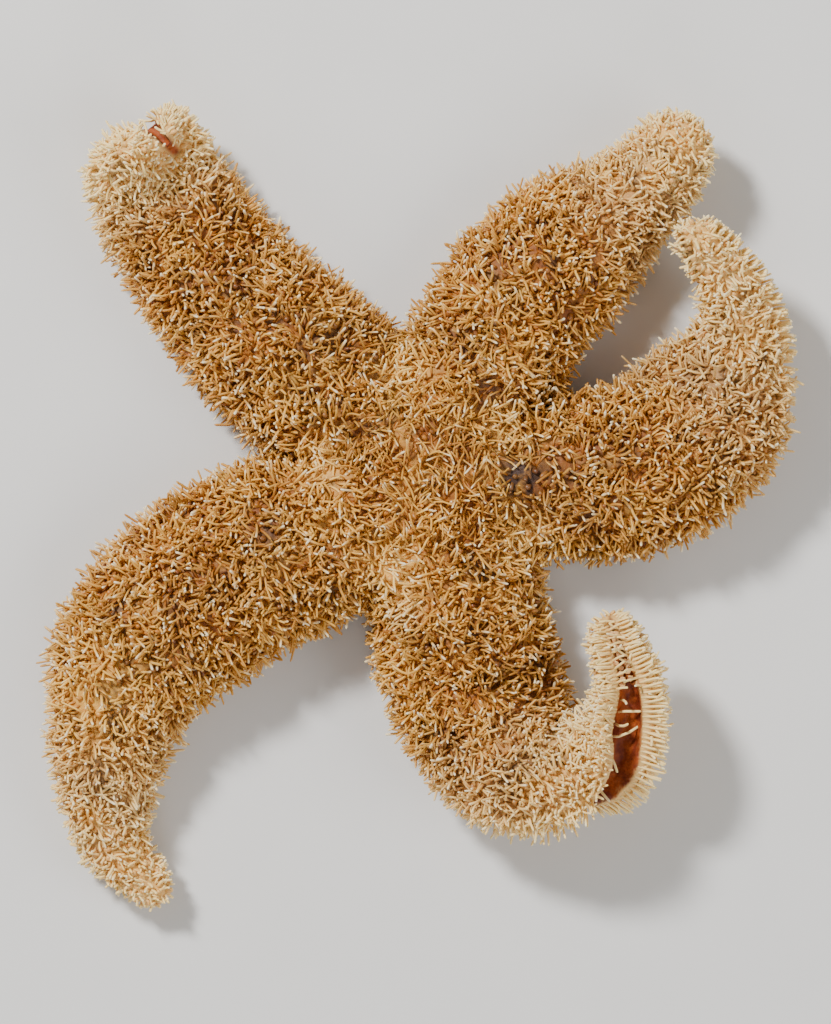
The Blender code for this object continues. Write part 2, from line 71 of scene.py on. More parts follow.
# Each arm runs from the middle of the disc to its tip. A station, without the spines, is (x, y, height of
# the section's middle, half width, half height, twist in degrees or none, openness of the groove or 1).
ARM_STATIONS = {
    "arm_1": [
        (0.6, 2.2, 2.7, 4.4, 2.7), (2.9, 6.7, 2.6, 4.3, 2.6), (5.2, 11.0, 2.5, 4.05, 2.5),
        (8.2, 14.5, 2.5, 3.9, 2.5), (10.8, 16.5, 2.4, 2.9, 2.2), (13.0, 18.4, 2.9, 2.3, 1.75),
        (14.6, 20.2, 3.6, 2.0, 1.5), (15.9, 21.8, 4.0, 1.7, 1.3),
    ],
    "arm_2": [
        (0.6, 2.2, 2.7, 4.4, 2.7), (5.8, 1.8, 2.6, 4.25, 2.6), (10.3, 1.6, 2.7, 4.3, 2.7),
        (14.2, 3.0, 2.9, 4.4, 2.9, -4), (16.7, 5.6, 3.0, 4.15, 2.6, -18),
        (18.1, 8.5, 3.7, 2.8, 2.0, -38), (18.1, 11.2, 4.6, 1.95, 1.5, -50),
        (17.2, 13.3, 5.5, 1.5, 1.2, -52), (16.0, 14.7, 6.2, 1.15, 1.0, -48),
        (15.2, 16.0, 6.7, 1.0, 0.8, -40),
    ],
    "arm_3": [
        (0.6, 2.2, 2.7, 4.4, 2.7), (1.8, -3.3, 2.6, 4.5, 2.6), (2.4, -8.0, 2.7, 4.6, 2.7),
        (3.8, -11.7, 2.8, 4.5, 2.6, -12), (5.4, -14.4, 3.4, 3.9, 2.8, -40),
        (7.9, -15.4, 4.2, 3.2, 2.5, -72), (10.2, -14.5, 4.9, 2.45, 2.2, -122, 1.3),
        (11.5, -12.5, 5.5, 1.85, 1.65, -162, 1.45), (11.8, -10.4, 6.0, 1.6, 1.4, -176, 1.1),
        (11.3, -8.5, 6.3, 1.35, 1.15, -180, 0.7), (10.8, -6.4, 6.4, 1.05, 0.9, -180, 0.5),
    ],
    "arm_4": [
        (0.6, 2.2, 2.7, 4.4, 2.7), (-4.4, -1.0, 2.7, 4.6, 2.7), (-9.5, -3.2, 3.0, 4.8, 3.0),
        (-13.6, -5.7, 3.0, 4.8, 3.0), (-16.5, -9.2, 2.8, 4.2, 2.7, -8),
        (-17.6, -12.8, 2.5, 3.2, 2.2, -14), (-18.1, -16.0, 2.2, 2.5, 1.8, -16),
        (-17.7, -19.4, 1.9, 1.7, 1.35, -10), (-16.3, -21.4, 1.8, 1.15, 1.0),
        (-14.8, -22.8, 1.9, 0.95, 0.75),
    ],
    "arm_5": [
        (0.6, 2.2, 2.7, 4.4, 2.7), (-4.0, 5.3, 2.6, 4.7, 2.6), (-8.1, 9.1, 2.8, 4.5, 2.8),
        (-11.8, 12.9, 2.6, 4.0, 2.6), (-14.2, 16.5, 2.5, 3.6, 2.4, 0, 1.1),
        (-15.2, 18.5, 2.9, 3.25, 2.1, 6, 1.3), (-15.6, 19.9, 4.4, 3.0, 1.6, 14, 0.8),
        (-15.4, 20.6, 6.0, 2.7, 1.3, 20, 0.4), (-14.5, 20.6, 7.0, 2.1, 1.0, 20, 0.4),
    ],
}
CURLED_ARMS = {"arm_5"}  # whose tips turn back over themselves
TIP_ROUNDING = 1.5  # of the tip's half width, over which the arm closes
SMALLEST_TIP = 0.25  # of the full section, at the very tip

# A section's outline by angle, from 0 at the top of the back to 180 in the middle of the underside
WIDEST_ANGLE = 90
RIDGE_ANGLE = 150
LIP_ANGLE = 165
WALL_ANGLE = 174
WIDEST_HEIGHT = -0.15  # of the half height, where the arm is widest
GROOVE_SHARE, GROOVE_LEAST = 0.24, 0.15  # half width of the groove: a share of the arm's, and a constant
RIDGE_SHARE = 0.26  # width of the ridge beside the groove, of the arm's half width
GROOVE_DEPTH = 0.55  # of the half height
SHOULDER = 0.7  # of the groove's depth, where its roof starts
WALL_IN = 0.75  # the groove's width where its roof starts, of its width at the lips

DISC_MIDDLE = (0.6, 2.2)
DISC_RADIUS = 6.6
DISC_HEIGHT = 5.0
MOUTH_RADIUS, MOUTH_DEPTH = 1.9, 1.9
MADREPORITE_AT = (-1.6, -3.6, 4.2)
MADREPORITE_RADIUS, MADREPORITE_RISE, MADREPORITE_SUNK = 1.15, 0.35, 0.5

SKIN_VOXEL = 0.16
SKIN_RING_PITCH = 0.5
SKIN_ANGLE_STEP = 5
GROOVE_ANGLES = (169, WALL_ANGLE, 177, 180)  # of a ring of the skin, past the lip
LOFT_FROM = 0.4  # along each arm
RINGS_CLOSER = 1.15  # the power by which rings come closer together towards the tip
# (from, to, sections) of what is cut for a groove near the disc, which starts below the underside
CUTTER_RUN, CUTTER_BELOW = (0.8, 11.0, 20), -1.0
SKIN_ABOVE_FLOOR = 0.35  # the animal rests on the spines of its underside
PRESSED_SHARE = 0.8  # of it, as low as the skin's lumps go
SKIN_SMOOTHING = 4
# (size of the lumps, their height) over the whole skin
LUMPS = ((2.6, 0.16), (0.9, 0.09))
# (start, end, half width, depth) of the folds across the back
FOLDS = (((2.6, -10.1, 5.2), (9.3, -10.4, 4.6), 0.55, 0.75),)

# The notch that parts the tip of arm_5, from its inner end outwards: (x, y, bottom height, half width)
NOTCH = ((-14.1, 20.2, 5.0, 0.1), (-15.2, 21.3, 4.2, 0.24), (-16.4, 22.6, 3.2, 0.45))
NOTCH_TOP = 10.0
NOTCH_BARE = 0.12  # beside the notch, without spines
NOTCH_COLOURED = 0.25  # beside it, with the groove's colour
NOTCH_UNDER, FAR = 0.5, 10.0  # so far below the notch a point counts as that far away

# What the colours follow: (x, y, radius, strength) of patches seen from above
# Dark patches: the skin's own darker colour, but for two that are painted shade, noted below
DARK_AND_SHADE_PATCHES = (
    (5.8, 1.4, 2.2, 1.0), (4.0, 6.3, 1.4, 0.8), (-4.7, 9.2, 1.8, 0.7), (-9.0, -2.0, 2.2, 0.6),
    # (5.8, -10.4): painted shadow along the fold across the back of arm_3
    (-12.5, -4.6, 1.8, 0.5), (9.6, -9.0, 1.8, 0.9), (5.8, -10.4, 1.5, 0.6), (8.0, 1.0, 2.0, 0.6),
    (16.0, 7.2, 1.8, 0.5), (2.2, 3.4, 1.0, 0.6), (-6.9, 8.0, 1.3, 0.5), (4.6, 13.5, 1.3, 0.5),
    # (-14.0, 18.4): painted shade, a dark spot for the shadowed hole at the curled tip of arm_5
    (8.6, 10.5, 1.2, 0.5), (-10.8, 13.6, 1.5, 0.5), (-14.0, 18.4, 0.5, 1.0),
    (11.3, 2.8, 1.5, 0.6), (17.2, 7.0, 1.4, 0.7), (7.5, -13.7, 1.0, 0.7),
)
MATTED_PATCHES = ((-14.5, 20.2, 1.5, 1.0), (-13.3, 21.6, 1.4, 0.4))  # short and whitish
CREAM_SPOTS = (
    (-1.5, -3.8, 1.5, 1.0), (-0.6, -5.9, 0.9, 0.8), (-5.5, 2.2, 1.1, 0.9), (-0.9, 7.4, 1.2, 0.7),
    (4.6, 4.3, 1.0, 0.6), (5.8, -2.1, 1.1, 0.8),
)
CREAM_SPARSE = 0.45  # share of the tufts that are left out in them
# Where tufts are left out, as that share of them at most
SPARSE_PATCHES = ((0.6, 2.2, 5.0, 0.12), (-18.2, -10.8, 2.6, 0.3))
DARK_SPARSE = 0.5  # the same, in the dark patches
FLAT_PATCHES = ((0.6, 2.2, 5.6, 1.0),)  # where long spines lie down
YELLOW_AND_HIGHLIGHT_PATCHES = (
    # (-18.4, -10.7): the bend of arm_4, orange in its own colour and lighter as a painted highlight
    (-18.4, -10.7, 3.8, 0.85), (-1.0, -9.5, 1.7, 0.6), (-0.3, -12.0, 1.6, 0.5),
    (-1.5, -3.8, 2.4, 0.9), (-5.5, 2.2, 1.9, 0.8), (-0.9, 7.4, 2.2, 0.8), (4.6, 4.3, 1.6, 0.8),
    (5.8, -2.1, 1.9, 0.8),
)
# (start, end) along each arm, over which its colour turns from ochre to cream
PALE_FROM = {
    "arm_1": (15.0, 24.0),
    "arm_2": (14.0, 26.0),
    "arm_3": (15.0, 23.0),
    "arm_4": (21.0, 34.0),
    "arm_5": (20.0, 24.5),
}
# The sides are paler: (degrees from the top of the back, degrees over which, most of it)
PALE_SIDES = (95, 40, 0.45)
MARKED_TO = (110, 30)  # dark and yellow end at that angle, fading over so many degrees
PATCH_REACH = 1.35  # of its radius, where a patch ends
# Soft patches between those: (strength, size, shift of the noise)
DARK_MOTTLING, YELLOW_MOTTLING = (0.75, 1.5, 0.0), (0.45, 2.2, 30.0)
MOTTLING_FROM, MOTTLING_SOFTNESS = 0.03, 0.35  # of the noise
SKIN_VARYING = 0.5  # the skin's own value of what varies from spine to spine

# A rod's profile as (share of its length, share of its radius), from under the skin to the tip
SPINE_PROFILE = ((-0.2, 1.1), (0.3, 1.0), (0.65, 0.95), (0.95, 0.88), (1.0, 0.5))
FOOT_PROFILE = ((-0.2, 0.9), (0.1, 0.85), (0.45, 0.7), (0.75, 0.75), (0.86, 1.15), (1.0, 1.2), (1.0, 0.6))
SAC_PROFILE = ((-0.4, 0.8), (0.2, 1.0), (0.65, 0.9), (0.92, 0.5), (1.0, 0.15))
ROD_SIDES = 5
# Slanted directions that the frames of spines and of tufts start from
OBLIQUE, OBLIQUE_ACROSS = (0.31, 0.57, 0.76), (0.3, 0.5, 0.8)
VARIED = 0.15  # the share by which sizes vary, where no other is given

DISC_PIECE = 7.5  # the disc's own piece of the coat reaches that far along every arm
TUFT_SPACING = 0.46
TUFT_SIZES = (4, 4, 5)
TUFT_RADIUS = (0.23, 0.4)  # and the share by which it varies
TUFT_CANDIDATES = 90000
BACK_TO = 112  # degrees from the top of the back, as far as tufts grow
# (from that distance, the same) on the arms that turn their sides up
TURNED_BACKS = {"arm_3": (14.0, 136), "arm_5": (17.0, 164)}
BACK_LENGTH, BACK_RADIUS = 0.9, 0.077
LENGTH_VARIED, RADIUS_VARIED = 0.28, 0.2
# Spines are shorter on a slim arm: the least share of their length, and the half width with full length
SHORTEST, FULL_WIDTH = 0.5, 3.4
TIP_ZONE, TIP_SHARE = 5.0, 0.85  # towards an arm's end they shrink to that share over that distance
STANDING = 0.5  # how much a spine stands up, against its leans
LEAST_STANDING = 0.2
LYING = 0.6  # how much less they stand in the flat patches
LYING_LONGER, LYING_THINNER = 0.4, 0.2
MATTED_SHORTER = 0.45
SPREAD_IN_TUFT = 0.45
LEAN_OUT, LEAN_TIP, LEAN_DRIFT, LEAN_STRAY = 0.2, 0.12, 1.15, 0.5
DRIFT_SIZE = 1.5  # over which the common lean of neighbouring tufts changes
CURL = 0.8  # how far a spine's tip bends away from its straight line, of its length

# Rows along both sides of each arm: (angle, pitch, spines abreast, length, radius, towards the floor)
SIDE_ROWS = (
    (112, 0.62, 3, 0.92, 0.088, 0.1),
    (130, 0.62, 3, 1.0, 0.088, 0.25),
)
# (first distance along the arm, rest before its tip, furthest from the skin) of a row
ROWS_RUN = (DISC_RADIUS * 0.9, 0.5, 0.45)
COMBS_RUN = (MOUTH_RADIUS * 1.2, 0.3, 0.5)
FEET_RUN = (MOUTH_RADIUS * 1.1, 0.4, 0.5)
ROWS_APART = 0.24  # between the spines that are abreast
ROWS_STANDING, ROWS_FAN, ROWS_LEAN_TIP, ROWS_CURL = 0.5, 0.5, 0.15, 0.15
ROWS_STRAY, ROWS_FAN_STRAY, ROWS_SHIFT = 0.12, 0.1, 0.06
# (angle, pitch, length, radius) of the combs beside the groove, and of the short spines that lean over it
COMB_ROWS = ((150, 0.23, 1.1, 0.074), (157, 0.23, 1.2, 0.074))
GUARD_ROW = (163, 0.4, 0.75, 0.074)
COMB_LEAN = (0.55, 0.2, 0.12)  # (down, to the tip, curl)
GUARD_LEAN = (0.8, 0.8, 0.3, 0.3, 0.3)  # (down, inwards, to the tip, stray, curl)
COMB_VARIED, GUARD_VARIED = 0.1, 0.25
COMB_SHARES = {"arm_3": 1.3, "arm_5": 0.5}  # of the combs' length
UNTIDY_COMB = ("arm_3", 1)  # the comb of that arm and side is ruffled
COMB_STRAY, UNTIDY_STRAY = 0.1, 0.35
OPEN_GROOVES = {"arm_3": (20.0, 27.8), "arm_5": (19.0, 40.0)}  # from and to where it has no guards or feet
# Pale spines that lie across the open groove of arm_3: (from, to, pitch, length, radius)
CROSSING = (22.3, 27.6, 0.8, 1.3, 0.085)
CROSSING_LEAN = (0.75, 0.6, 0.8, 0.3, 0.7)  # (down, inwards, stray, share of the length, curl)
FOOT_PITCH = 0.7
FOOT_RADIUS = 0.17
FOOT_ANGLES = (175.5, 178.2)
# (outwards, stray, least length as a share of the groove's depth, more of it at most, curl)
FOOT_LEAN = (0.15, 0.25, 0.6, 0.35, 0.3)
# The soft sacs of the skin that fill the gaps between the spines
SAC_CANDIDATES = 40000
SAC_SPACING = 0.5
SAC_LENGTH, SAC_RADIUS = (0.34, 0.35), (0.16, 0.3)  # and the shares by which they vary
SAC_STRAY, SAC_CURL = 0.6, 0.1
LOWEST = 0.03  # of anything but the floor
SPINES_BAKE = 0.003  # size of a spine's own patch in its bake map
BAKE_EDGE = 0.03  # left free round the map
BAKE_STRIP = 0.97  # of an arm's strip of the map that is filled

CAMERA_AT = (-0.29, -0.49)
CAMERA_HEIGHT = 400.0
VIEW_HEIGHT = 59.42  # what the picture shows at the floor, along its longer side
SENSOR = 36.0

# Colours, as linear red, green and blue with 1
# The skin's darkest colour and the dark and yellow ones of skin, shafts and sacs also paint shade in a fold
# and a hole, and a highlight on the bend of arm_4
SKIN_BROWN, SKIN_OCHRE = (0.25, 0.075, 0.012, 1), (0.45, 0.18, 0.026, 1)
SKIN_GRAIN, SKIN_STAIN_AND_SHADE = (0.15, 0.042, 0.01, 1), (0.05, 0.024, 0.016, 1)
SKIN_PALE, SKIN_YELLOW = (0.86, 0.55, 0.2, 1), (0.85, 0.47, 0.09, 1)
GROOVE_DARK, GROOVE_RED = (0.15, 0.022, 0.006, 1), (0.34, 0.07, 0.01, 1)
SHAFT_BROWN, SHAFT_OCHRE = (0.5, 0.21, 0.03, 1), (0.84, 0.47, 0.1, 1)
SHAFT_DARK, SHAFT_FOOT = (0.2, 0.085, 0.022, 1), (0.34, 0.1, 0.012, 1)
SHAFT_PALE, SHAFT_YELLOW = (1.0, 0.735, 0.32, 1), (0.96, 0.58, 0.12, 1)
SHAFT_TIP = (0.99, 0.85, 0.56, 1)
SAC_BROWN, SAC_OCHRE = (0.26, 0.075, 0.012, 1), (0.6, 0.24, 0.035, 1)
SAC_PALE, SAC_YELLOW, SAC_DARK = (0.82, 0.5, 0.17, 1), (0.8, 0.42, 0.08, 1), (0.06, 0.028, 0.018, 1)
FOOT_BROWN, FOOT_PALE, FOOT_RED = (0.42, 0.13, 0.035, 1), (0.7, 0.4, 0.17, 1), (0.3, 0.08, 0.02, 1)
FLOOR_DARK, FLOOR_LIGHT = (0.70, 0.69, 0.67, 1), (0.74, 0.73, 0.71, 1)
FLOOR_GRAIN = 6.0
# The floor's half width and the lamps' places and sizes are in metres
FLOOR_HALF = 1.0
LAMPS = (
    ("key", (-0.22, 0.24, 0.34), 0.08, 3.3),
    ("fill", (0.34, -0.1, 0.3), 0.3, 0.8),
    ("back", (0.05, -0.4, 0.25), 0.2, 0.5),
)
WORLD_COLOUR, WORLD_STRENGTH = (1.0, 0.98, 0.95, 1), 0.36


def unit(v):
    return v / np.linalg.norm(v)


def units(rows):
    return rows / np.maximum(np.linalg.norm(rows, axis=-1, keepdims=True), 1e-9)


def filled(station):
    """The station, with no twist and an openness of 1 where it leaves them out."""
    return station + (0, 1)[len(station) - 5 :]


def smooth_samples(stations, per_span=24):
    """The stations joined by a Catmull-Rom curve, as an array with one row of station values per sample."""
    points = np.array(stations, float)
    points = np.vstack([2 * points[0] - points[1], points, 2 * points[-1] - points[-2]])
    rows = []
    for i in range(1, len(points) - 2):
        p0, p1, p2, p3 = points[i - 1 : i + 3]
        for t in np.arange(per_span) / per_span:
            rows.append(
                0.5 * (2 * p1 + (p2 - p0) * t + (2 * p0 - 5 * p1 + 4 * p2 - p3) * t**2)
                + 0.5 * (3 * p1 - p0 - 3 * p2 + p3) * t**3
            )
    rows.append(points[-2])
    return np.array(rows)


class Arm:
    """An arm's centreline, frames and section sizes, read at a distance from the disc's middle."""

    def __init__(self, name):
        rows = smooth_samples([filled(station) for station in ARM_STATIONS[name]])
        self.name = name
        self.points = rows[:, :3]
        steps = np.linalg.norm(np.diff(self.points, axis=0), axis=1)
        self.along = np.concatenate([[0], np.cumsum(steps)])
        self.length = self.along[-1]
        self.sizes = rows[:, [3, 4, 6]]
        self.tangents = units(np.gradient(self.points, self.along, axis=0))
        self.ups = self.dorsal_directions(np.radians(rows[:, 5]))

    def dorsal_directions(self, twists):
        """Straight up, or in a curled arm carried along the curve without turning, then twisted."""
        straight_up = np.array([0.0, 0.0, 1.0])
        up = straight_up
        found = []
        for tangent, twist in zip(self.tangents, twists):
            start = up if self.name in CURLED_ARMS else straight_up
            up = unit(start - tangent * (start @ tangent))
            found.append(up * math.cos(twist) + np.cross(tangent, up) * math.sin(twist))
        return np.array(found)

    def read(self, table, s):
        return np.array([np.interp(s, self.along, column) for column in table.T])

    def frame(self, s):
        """(middle, tangent, side, up) at that distance."""
        middle, tangent = self.read(self.points, s), unit(self.read(self.tangents, s))
        up = self.read(self.ups, s)
        up = unit(up - tangent * (up @ tangent))
        return middle, tangent, np.cross(tangent, up), up

    def size(self, s):
        """(half width, half height, openness of the groove) at that distance, closing to a rounded tip."""
        width, height, openness = self.read(self.sizes, s)
        rounding = TIP_ROUNDING * self.sizes[-1][0]
        into = max(0.0, s - (self.length - rounding)) / rounding
        share = SMALLEST_TIP + (1 - SMALLEST_TIP) * math.sqrt(max(0.0, 1 - into**2))
        return width * share, height * share, openness

    def surface(self, s, angle):
        """The point of the outline at a distance along the arm and an angle round it."""
        middle, _, side, up = self.frame(s)
        across, above = outline(angle, *self.size(s))
        sign = -1 if angle < 0 else 1
        return raised(middle + side * across * sign + up * above)


def raised(point):
    """The skin is pressed flat a little above the floor."""
    return np.array([point[0], point[1], max(point[2], SKIN_ABOVE_FLOOR)])


def groove_sizes(width, height, openness):
    """(half width of the groove at its lips, outer edge of the ridge beside it, depth of the groove)."""
    lip = (GROOVE_SHARE * width + GROOVE_LEAST) * openness
    return lip, lip + RIDGE_SHARE * width, GROOVE_DEPTH * height * openness


def outline(angle, width, height, openness):
    """(across, above) of a section's outline at an angle from the top of its back."""
    lip, ridge, depth = groove_sizes(width, height, openness)
    widest = WIDEST_HEIGHT * height
    angle = abs(angle)
    if angle <= WIDEST_ANGLE:
        turn = math.radians(angle)
        return width * math.sin(turn), widest + (height - widest) * math.cos(turn)
    if angle <= RIDGE_ANGLE:
        turn = math.radians((angle - WIDEST_ANGLE) / (RIDGE_ANGLE - WIDEST_ANGLE) * 90)
        return ridge + (width - ridge) * math.cos(turn), widest - (height + widest) * math.sin(turn)
    if angle <= LIP_ANGLE:
        return ridge + (lip - ridge) * (angle - RIDGE_ANGLE) / (LIP_ANGLE - RIDGE_ANGLE), -height
    if angle <= WALL_ANGLE:
        share = (angle - LIP_ANGLE) / (WALL_ANGLE - LIP_ANGLE)
        return lip * (1 + (WALL_IN - 1) * share), -height + depth * SHOULDER * share
    share = min(1.0, (angle - WALL_ANGLE) / (180 - WALL_ANGLE))
    return lip * WALL_IN * (1 - share), -height + depth * (SHOULDER + (1 - SHOULDER) * share)


def as_object(name, shape):
    mesh = bpy.data.meshes.new(name)
    shape.to_mesh(mesh)
    shape.free()
    obj = bpy.data.objects.new(name, mesh)
    bpy.context.scene.collection.objects.link(obj)
    return obj


def lofted(name, rings):
    """A closed mesh object through the rings, with flat ends."""
    shape = bmesh.new()
    loops = [[shape.verts.new(p) for p in r] for r in rings]
    for a, b in zip(loops, loops[1:]):
        for i in range(len(a)):
            j = (i + 1) % len(a)
            shape.faces.new((a[i], a[j], b[j], b[i]))
    shape.faces.new(list(reversed(loops[0])))
    shape.faces.new(loops[-1])
    bmesh.ops.recalc_face_normals(shape, faces=shape.faces)
    return as_object(name, shape)


def squashed_ball(name, middle, radii):
    shape = bmesh.new()
    bmesh.ops.create_uvsphere(shape, u_segments=64, v_segments=32, radius=1.0)
    bmesh.ops.scale(shape, vec=radii, verts=shape.verts)
    bmesh.ops.translate(shape, vec=middle, verts=shape.verts)
    return as_object(name, shape)


def joined(target, others, operation):
    """Applies one Boolean of a collection of closed meshes to the target, and removes the collection."""
    group = bpy.data.collections.new("pieces")
    for other in others:
        group.objects.link(other)
    modifier = target.modifiers.new("join", "BOOLEAN")
    modifier.operation = operation
    modifier.operand_type = "COLLECTION"
    modifier.collection = group
    modifier.solver = "MANIFOLD"
    apply_modifiers(target)
    for other in others:
        bpy.data.objects.remove(other)
    bpy.data.collections.remove(group)


def apply_modifiers(obj):
    bpy.context.view_layer.update()
    graph = bpy.context.evaluated_depsgraph_get()
    made = bpy.data.meshes.new_from_object(obj.evaluated_get(graph))
    obj.modifiers.clear()
    obj.data = made


def arm_loft(arm):
    """The arm's whole length as one closed mesh, with closer rings towards the tip."""
    angles = [*np.arange(0, LIP_ANGLE + 1, SKIN_ANGLE_STEP), *GROOVE_ANGLES]
    angles += [-a for a in reversed(angles) if 0 < a < 180]
    count = round(arm.length / SKIN_RING_PITCH)
    shares = 1 - (1 - np.linspace(0, 1, count)) ** RINGS_CLOSER
    places = LOFT_FROM + (arm.length - LOFT_FROM) * shares
    rings = [[arm.surface(s, a) for a in angles] for s in places]
    return lofted(arm.name, rings)


def groove_cutter(arm):
    """What is cut from the middle for an arm's groove, where the other arms' roots would fill it."""
    rings = []
    for s in np.linspace(*CUTTER_RUN):
        middle, _, side, up = arm.frame(s)
        size = arm.size(s)
        lip, _, depth = groove_sizes(*size)
        half = [(lip, CUTTER_BELOW), (lip, 0.0), (lip * WALL_IN, depth * SHOULDER), (0.0, depth)]
        both = half + [(-across, above) for across, above in reversed(half[:-1])]
        floor = middle - up * size[1]
        rings.append([floor + side * across + up * above for across, above in both])
    return lofted("groove", rings)


def notch_cutter():
    """A wedge, narrow at the notch's inner end."""
    start, end = np.array(NOTCH[0][:2]), np.array(NOTCH[-1][:2])
    along = unit(end - start)
    side = np.array([-along[1], along[0]])
    rings = []
    for x, y, bottom, half in NOTCH:
        left, right = np.array([x, y]) + side * half, np.array([x, y]) - side * half
        rings.append([(*left, bottom), (*right, bottom), (*right, NOTCH_TOP), (*left, NOTCH_TOP)])
    return lofted("notch", rings)


def by_notch(points):
    """Distances from rows of points to the walls of the notch, seen from above. Under it they are large."""
    places = np.array(points)
    away = np.full(len(places), FAR)
    for (x0, y0, _, half0), (x1, y1, _, half1) in zip(NOTCH, NOTCH[1:]):
        middle_half = (half0 + half1) / 2
        away = np.minimum(away, near_segment(places[:, :2], (x0, y0), (x1, y1)) - middle_half)
    return np.where(places[:, 2] > NOTCH[-1][2] - NOTCH_UNDER, away, FAR)


def make_skin(arms):
    """One closed skin over the disc and all five arms, in millimetres."""
    x, y = DISC_MIDDLE
    dome = (DISC_RADIUS, DISC_RADIUS, DISC_HEIGHT - SKIN_ABOVE_FLOOR)
    skin = squashed_ball("skin", (x, y, SKIN_ABOVE_FLOOR), dome)
    button_radii = (MADREPORITE_RADIUS, MADREPORITE_RADIUS, MADREPORITE_RISE + MADREPORITE_SUNK)
    button = squashed_ball("button", MADREPORITE_AT, button_radii)
    joined(skin, [arm_loft(arm) for arm in arms] + [button], "UNION")
    mouth = squashed_ball("mouth", (x, y, 0.0), (MOUTH_RADIUS, MOUTH_RADIUS, MOUTH_DEPTH))
    joined(skin, [mouth, notch_cutter()] + [groove_cutter(arm) for arm in arms], "DIFFERENCE")
    remesh = skin.modifiers.new("remesh", "REMESH")
    remesh.mode = "VOXEL"
    remesh.voxel_size = SKIN_VOXEL
    smooth = skin.modifiers.new("smooth", "SMOOTH")
    smooth.iterations = SKIN_SMOOTHING
    apply_modifiers(skin)
    lump_skin(skin)
    return skin


def near_segment(points, start, end):
    """Distances from rows of points to a straight line between two others."""
    start, end = np.array(start), np.array(end)
    run = end - start
    share = np.clip((points - start) @ run / (run @ run), 0, 1)
    return np.linalg.norm(points - start - share[:, None] * run, axis=1)


def read_points(mesh, what="co"):
    """Positions or normals of a mesh's vertices, one row each."""
    values = np.empty(len(mesh.vertices) * 3)
    if what == "co":
        mesh.vertices.foreach_get("co", values)
    else:
        mesh.vertex_normals.foreach_get("vector", values)
    return values.reshape(-1, 3)


def lump_skin(skin):
    """Raises soft lumps all over the skin and sinks the folds across the back."""
    mesh = skin.data
    places, normals = read_points(mesh), read_points(mesh, "normal")
    move = np.zeros(len(places))
    for size, height in LUMPS:
        move += np.array([noise.noise(place) for place in places / size]) * height
    for start, end, width, depth in FOLDS:
        away = near_segment(places, start, end)
        move -= depth * np.exp(-((away / width) ** 2)) * (normals[:, 2] > 0)
    places += normals * move[:, None]
    places[:, 2] = np.maximum(places[:, 2], SKIN_ABOVE_FLOOR * PRESSED_SHARE)
    mesh.vertices.foreach_set("co", places.ravel())
    mesh.update()


def number_of(name):
    return list(ARM_STATIONS).index(name)


class Whereabouts:
    """Finds the arm, the distance along it and the angle round it for points near the skin."""

    START, PAST_TIP, STEP = 0.5, 0.3, 0.15
    LIP_MARGIN, LIP_SOFTNESS = 1.1, 0.15

    def __init__(self, arms):
        self.places = []
        for number, arm in enumerate(arms):
            steps = np.arange(self.START, arm.length + self.PAST_TIP, self.STEP)
            self.places += [(number, s) for s in steps]
        frames = [arms[number].frame(s) for number, s in self.places]
        self.frames = [np.array([f[k] for f in frames]) for k in range(4)]
        self.lips = np.array([self.lip(arms[number], s) for number, s in self.places])
        self.tree = KDTree(len(frames))
        for k, middle in enumerate(self.frames[0]):
            self.tree.insert(Vector(middle), k)
        self.tree.balance()

    def lip(self, arm, s):
        return groove_sizes(*arm.size(min(s, arm.length)))[0]

    def find(self, points):
        """Arrays of arm numbers, distances, angles, tangents, sides and shares inside the groove."""
        rows = np.array([self.tree.find(Vector(p))[1] for p in points])
        middles, tangents, sides, ups = (frame[rows] for frame in self.frames)
        offset = points - middles
        across = np.sum(offset * sides, axis=1)
        above = np.sum(offset * ups, axis=1)
        numbers = np.array([self.places[k][0] for k in rows])
        distances = np.array([self.places[k][1] for k in rows])
        angles = np.degrees(np.arctan2(across, above))
        within = (self.lips[rows] * self.LIP_MARGIN - np.abs(across)) / self.LIP_SOFTNESS
        return numbers, distances, angles, tangents, sides, np.clip(within, 0, 1) * (above < 0)


def patch_field(points, patches):
    """How much of the patches' colour a point has, softly edged."""
    field = np.zeros(len(points))
    for x, y, radius, strength in patches:
        away = np.hypot(points[:, 0] - x, points[:, 1] - y)
        field = np.maximum(field, strength * np.clip(PATCH_REACH - away / radius, 0, 1))
    return field


def mottled(points, patches, strength, size, shift):
    """The patches, and between them broad, soft ones of that strength over about half of the points."""
    heights = np.array([noise.noise(place) for place in points / size + shift])
    between = np.clip((heights - MOTTLING_FROM) / MOTTLING_SOFTNESS, 0, 1)
    return np.maximum(patch_field(points, patches), strength * between)


def marks_and_painted_light(points, arms, numbers, distances, angles, varies):
    """The colour that skin and spines share, as rows of (pale, dark, yellow, varying). Dark also holds
    painted shade in a fold and a hole, and yellow a painted highlight on the bend of arm_4.
    """
    starts = np.array([PALE_FROM[arm.name][0] for arm in arms])[numbers]
    ends = np.array([PALE_FROM[arm.name][1] for arm in arms])[numbers]
    pale = np.clip((distances - starts) / (ends - starts), 0, 1)
    from_side, over, most = PALE_SIDES
    pale = np.clip(pale + np.clip((np.abs(angles) - from_side) / over, 0, 1) * most, 0, 1)
    light = np.maximum(patch_field(points, MATTED_PATCHES), patch_field(points, CREAM_SPOTS))
    pale, varies = np.maximum(pale, light), np.maximum(varies, light)
    back_end, over = MARKED_TO
    on_back = np.clip((back_end - np.abs(angles)) / over, 0, 1)
    dark = mottled(points, DARK_AND_SHADE_PATCHES, *DARK_MOTTLING) * on_back * (1 - light)
    yellow = mottled(points, YELLOW_AND_HIGHLIGHT_PATCHES, *YELLOW_MOTTLING) * on_back
    return np.stack([pale, dark, yellow, varies], axis=1)


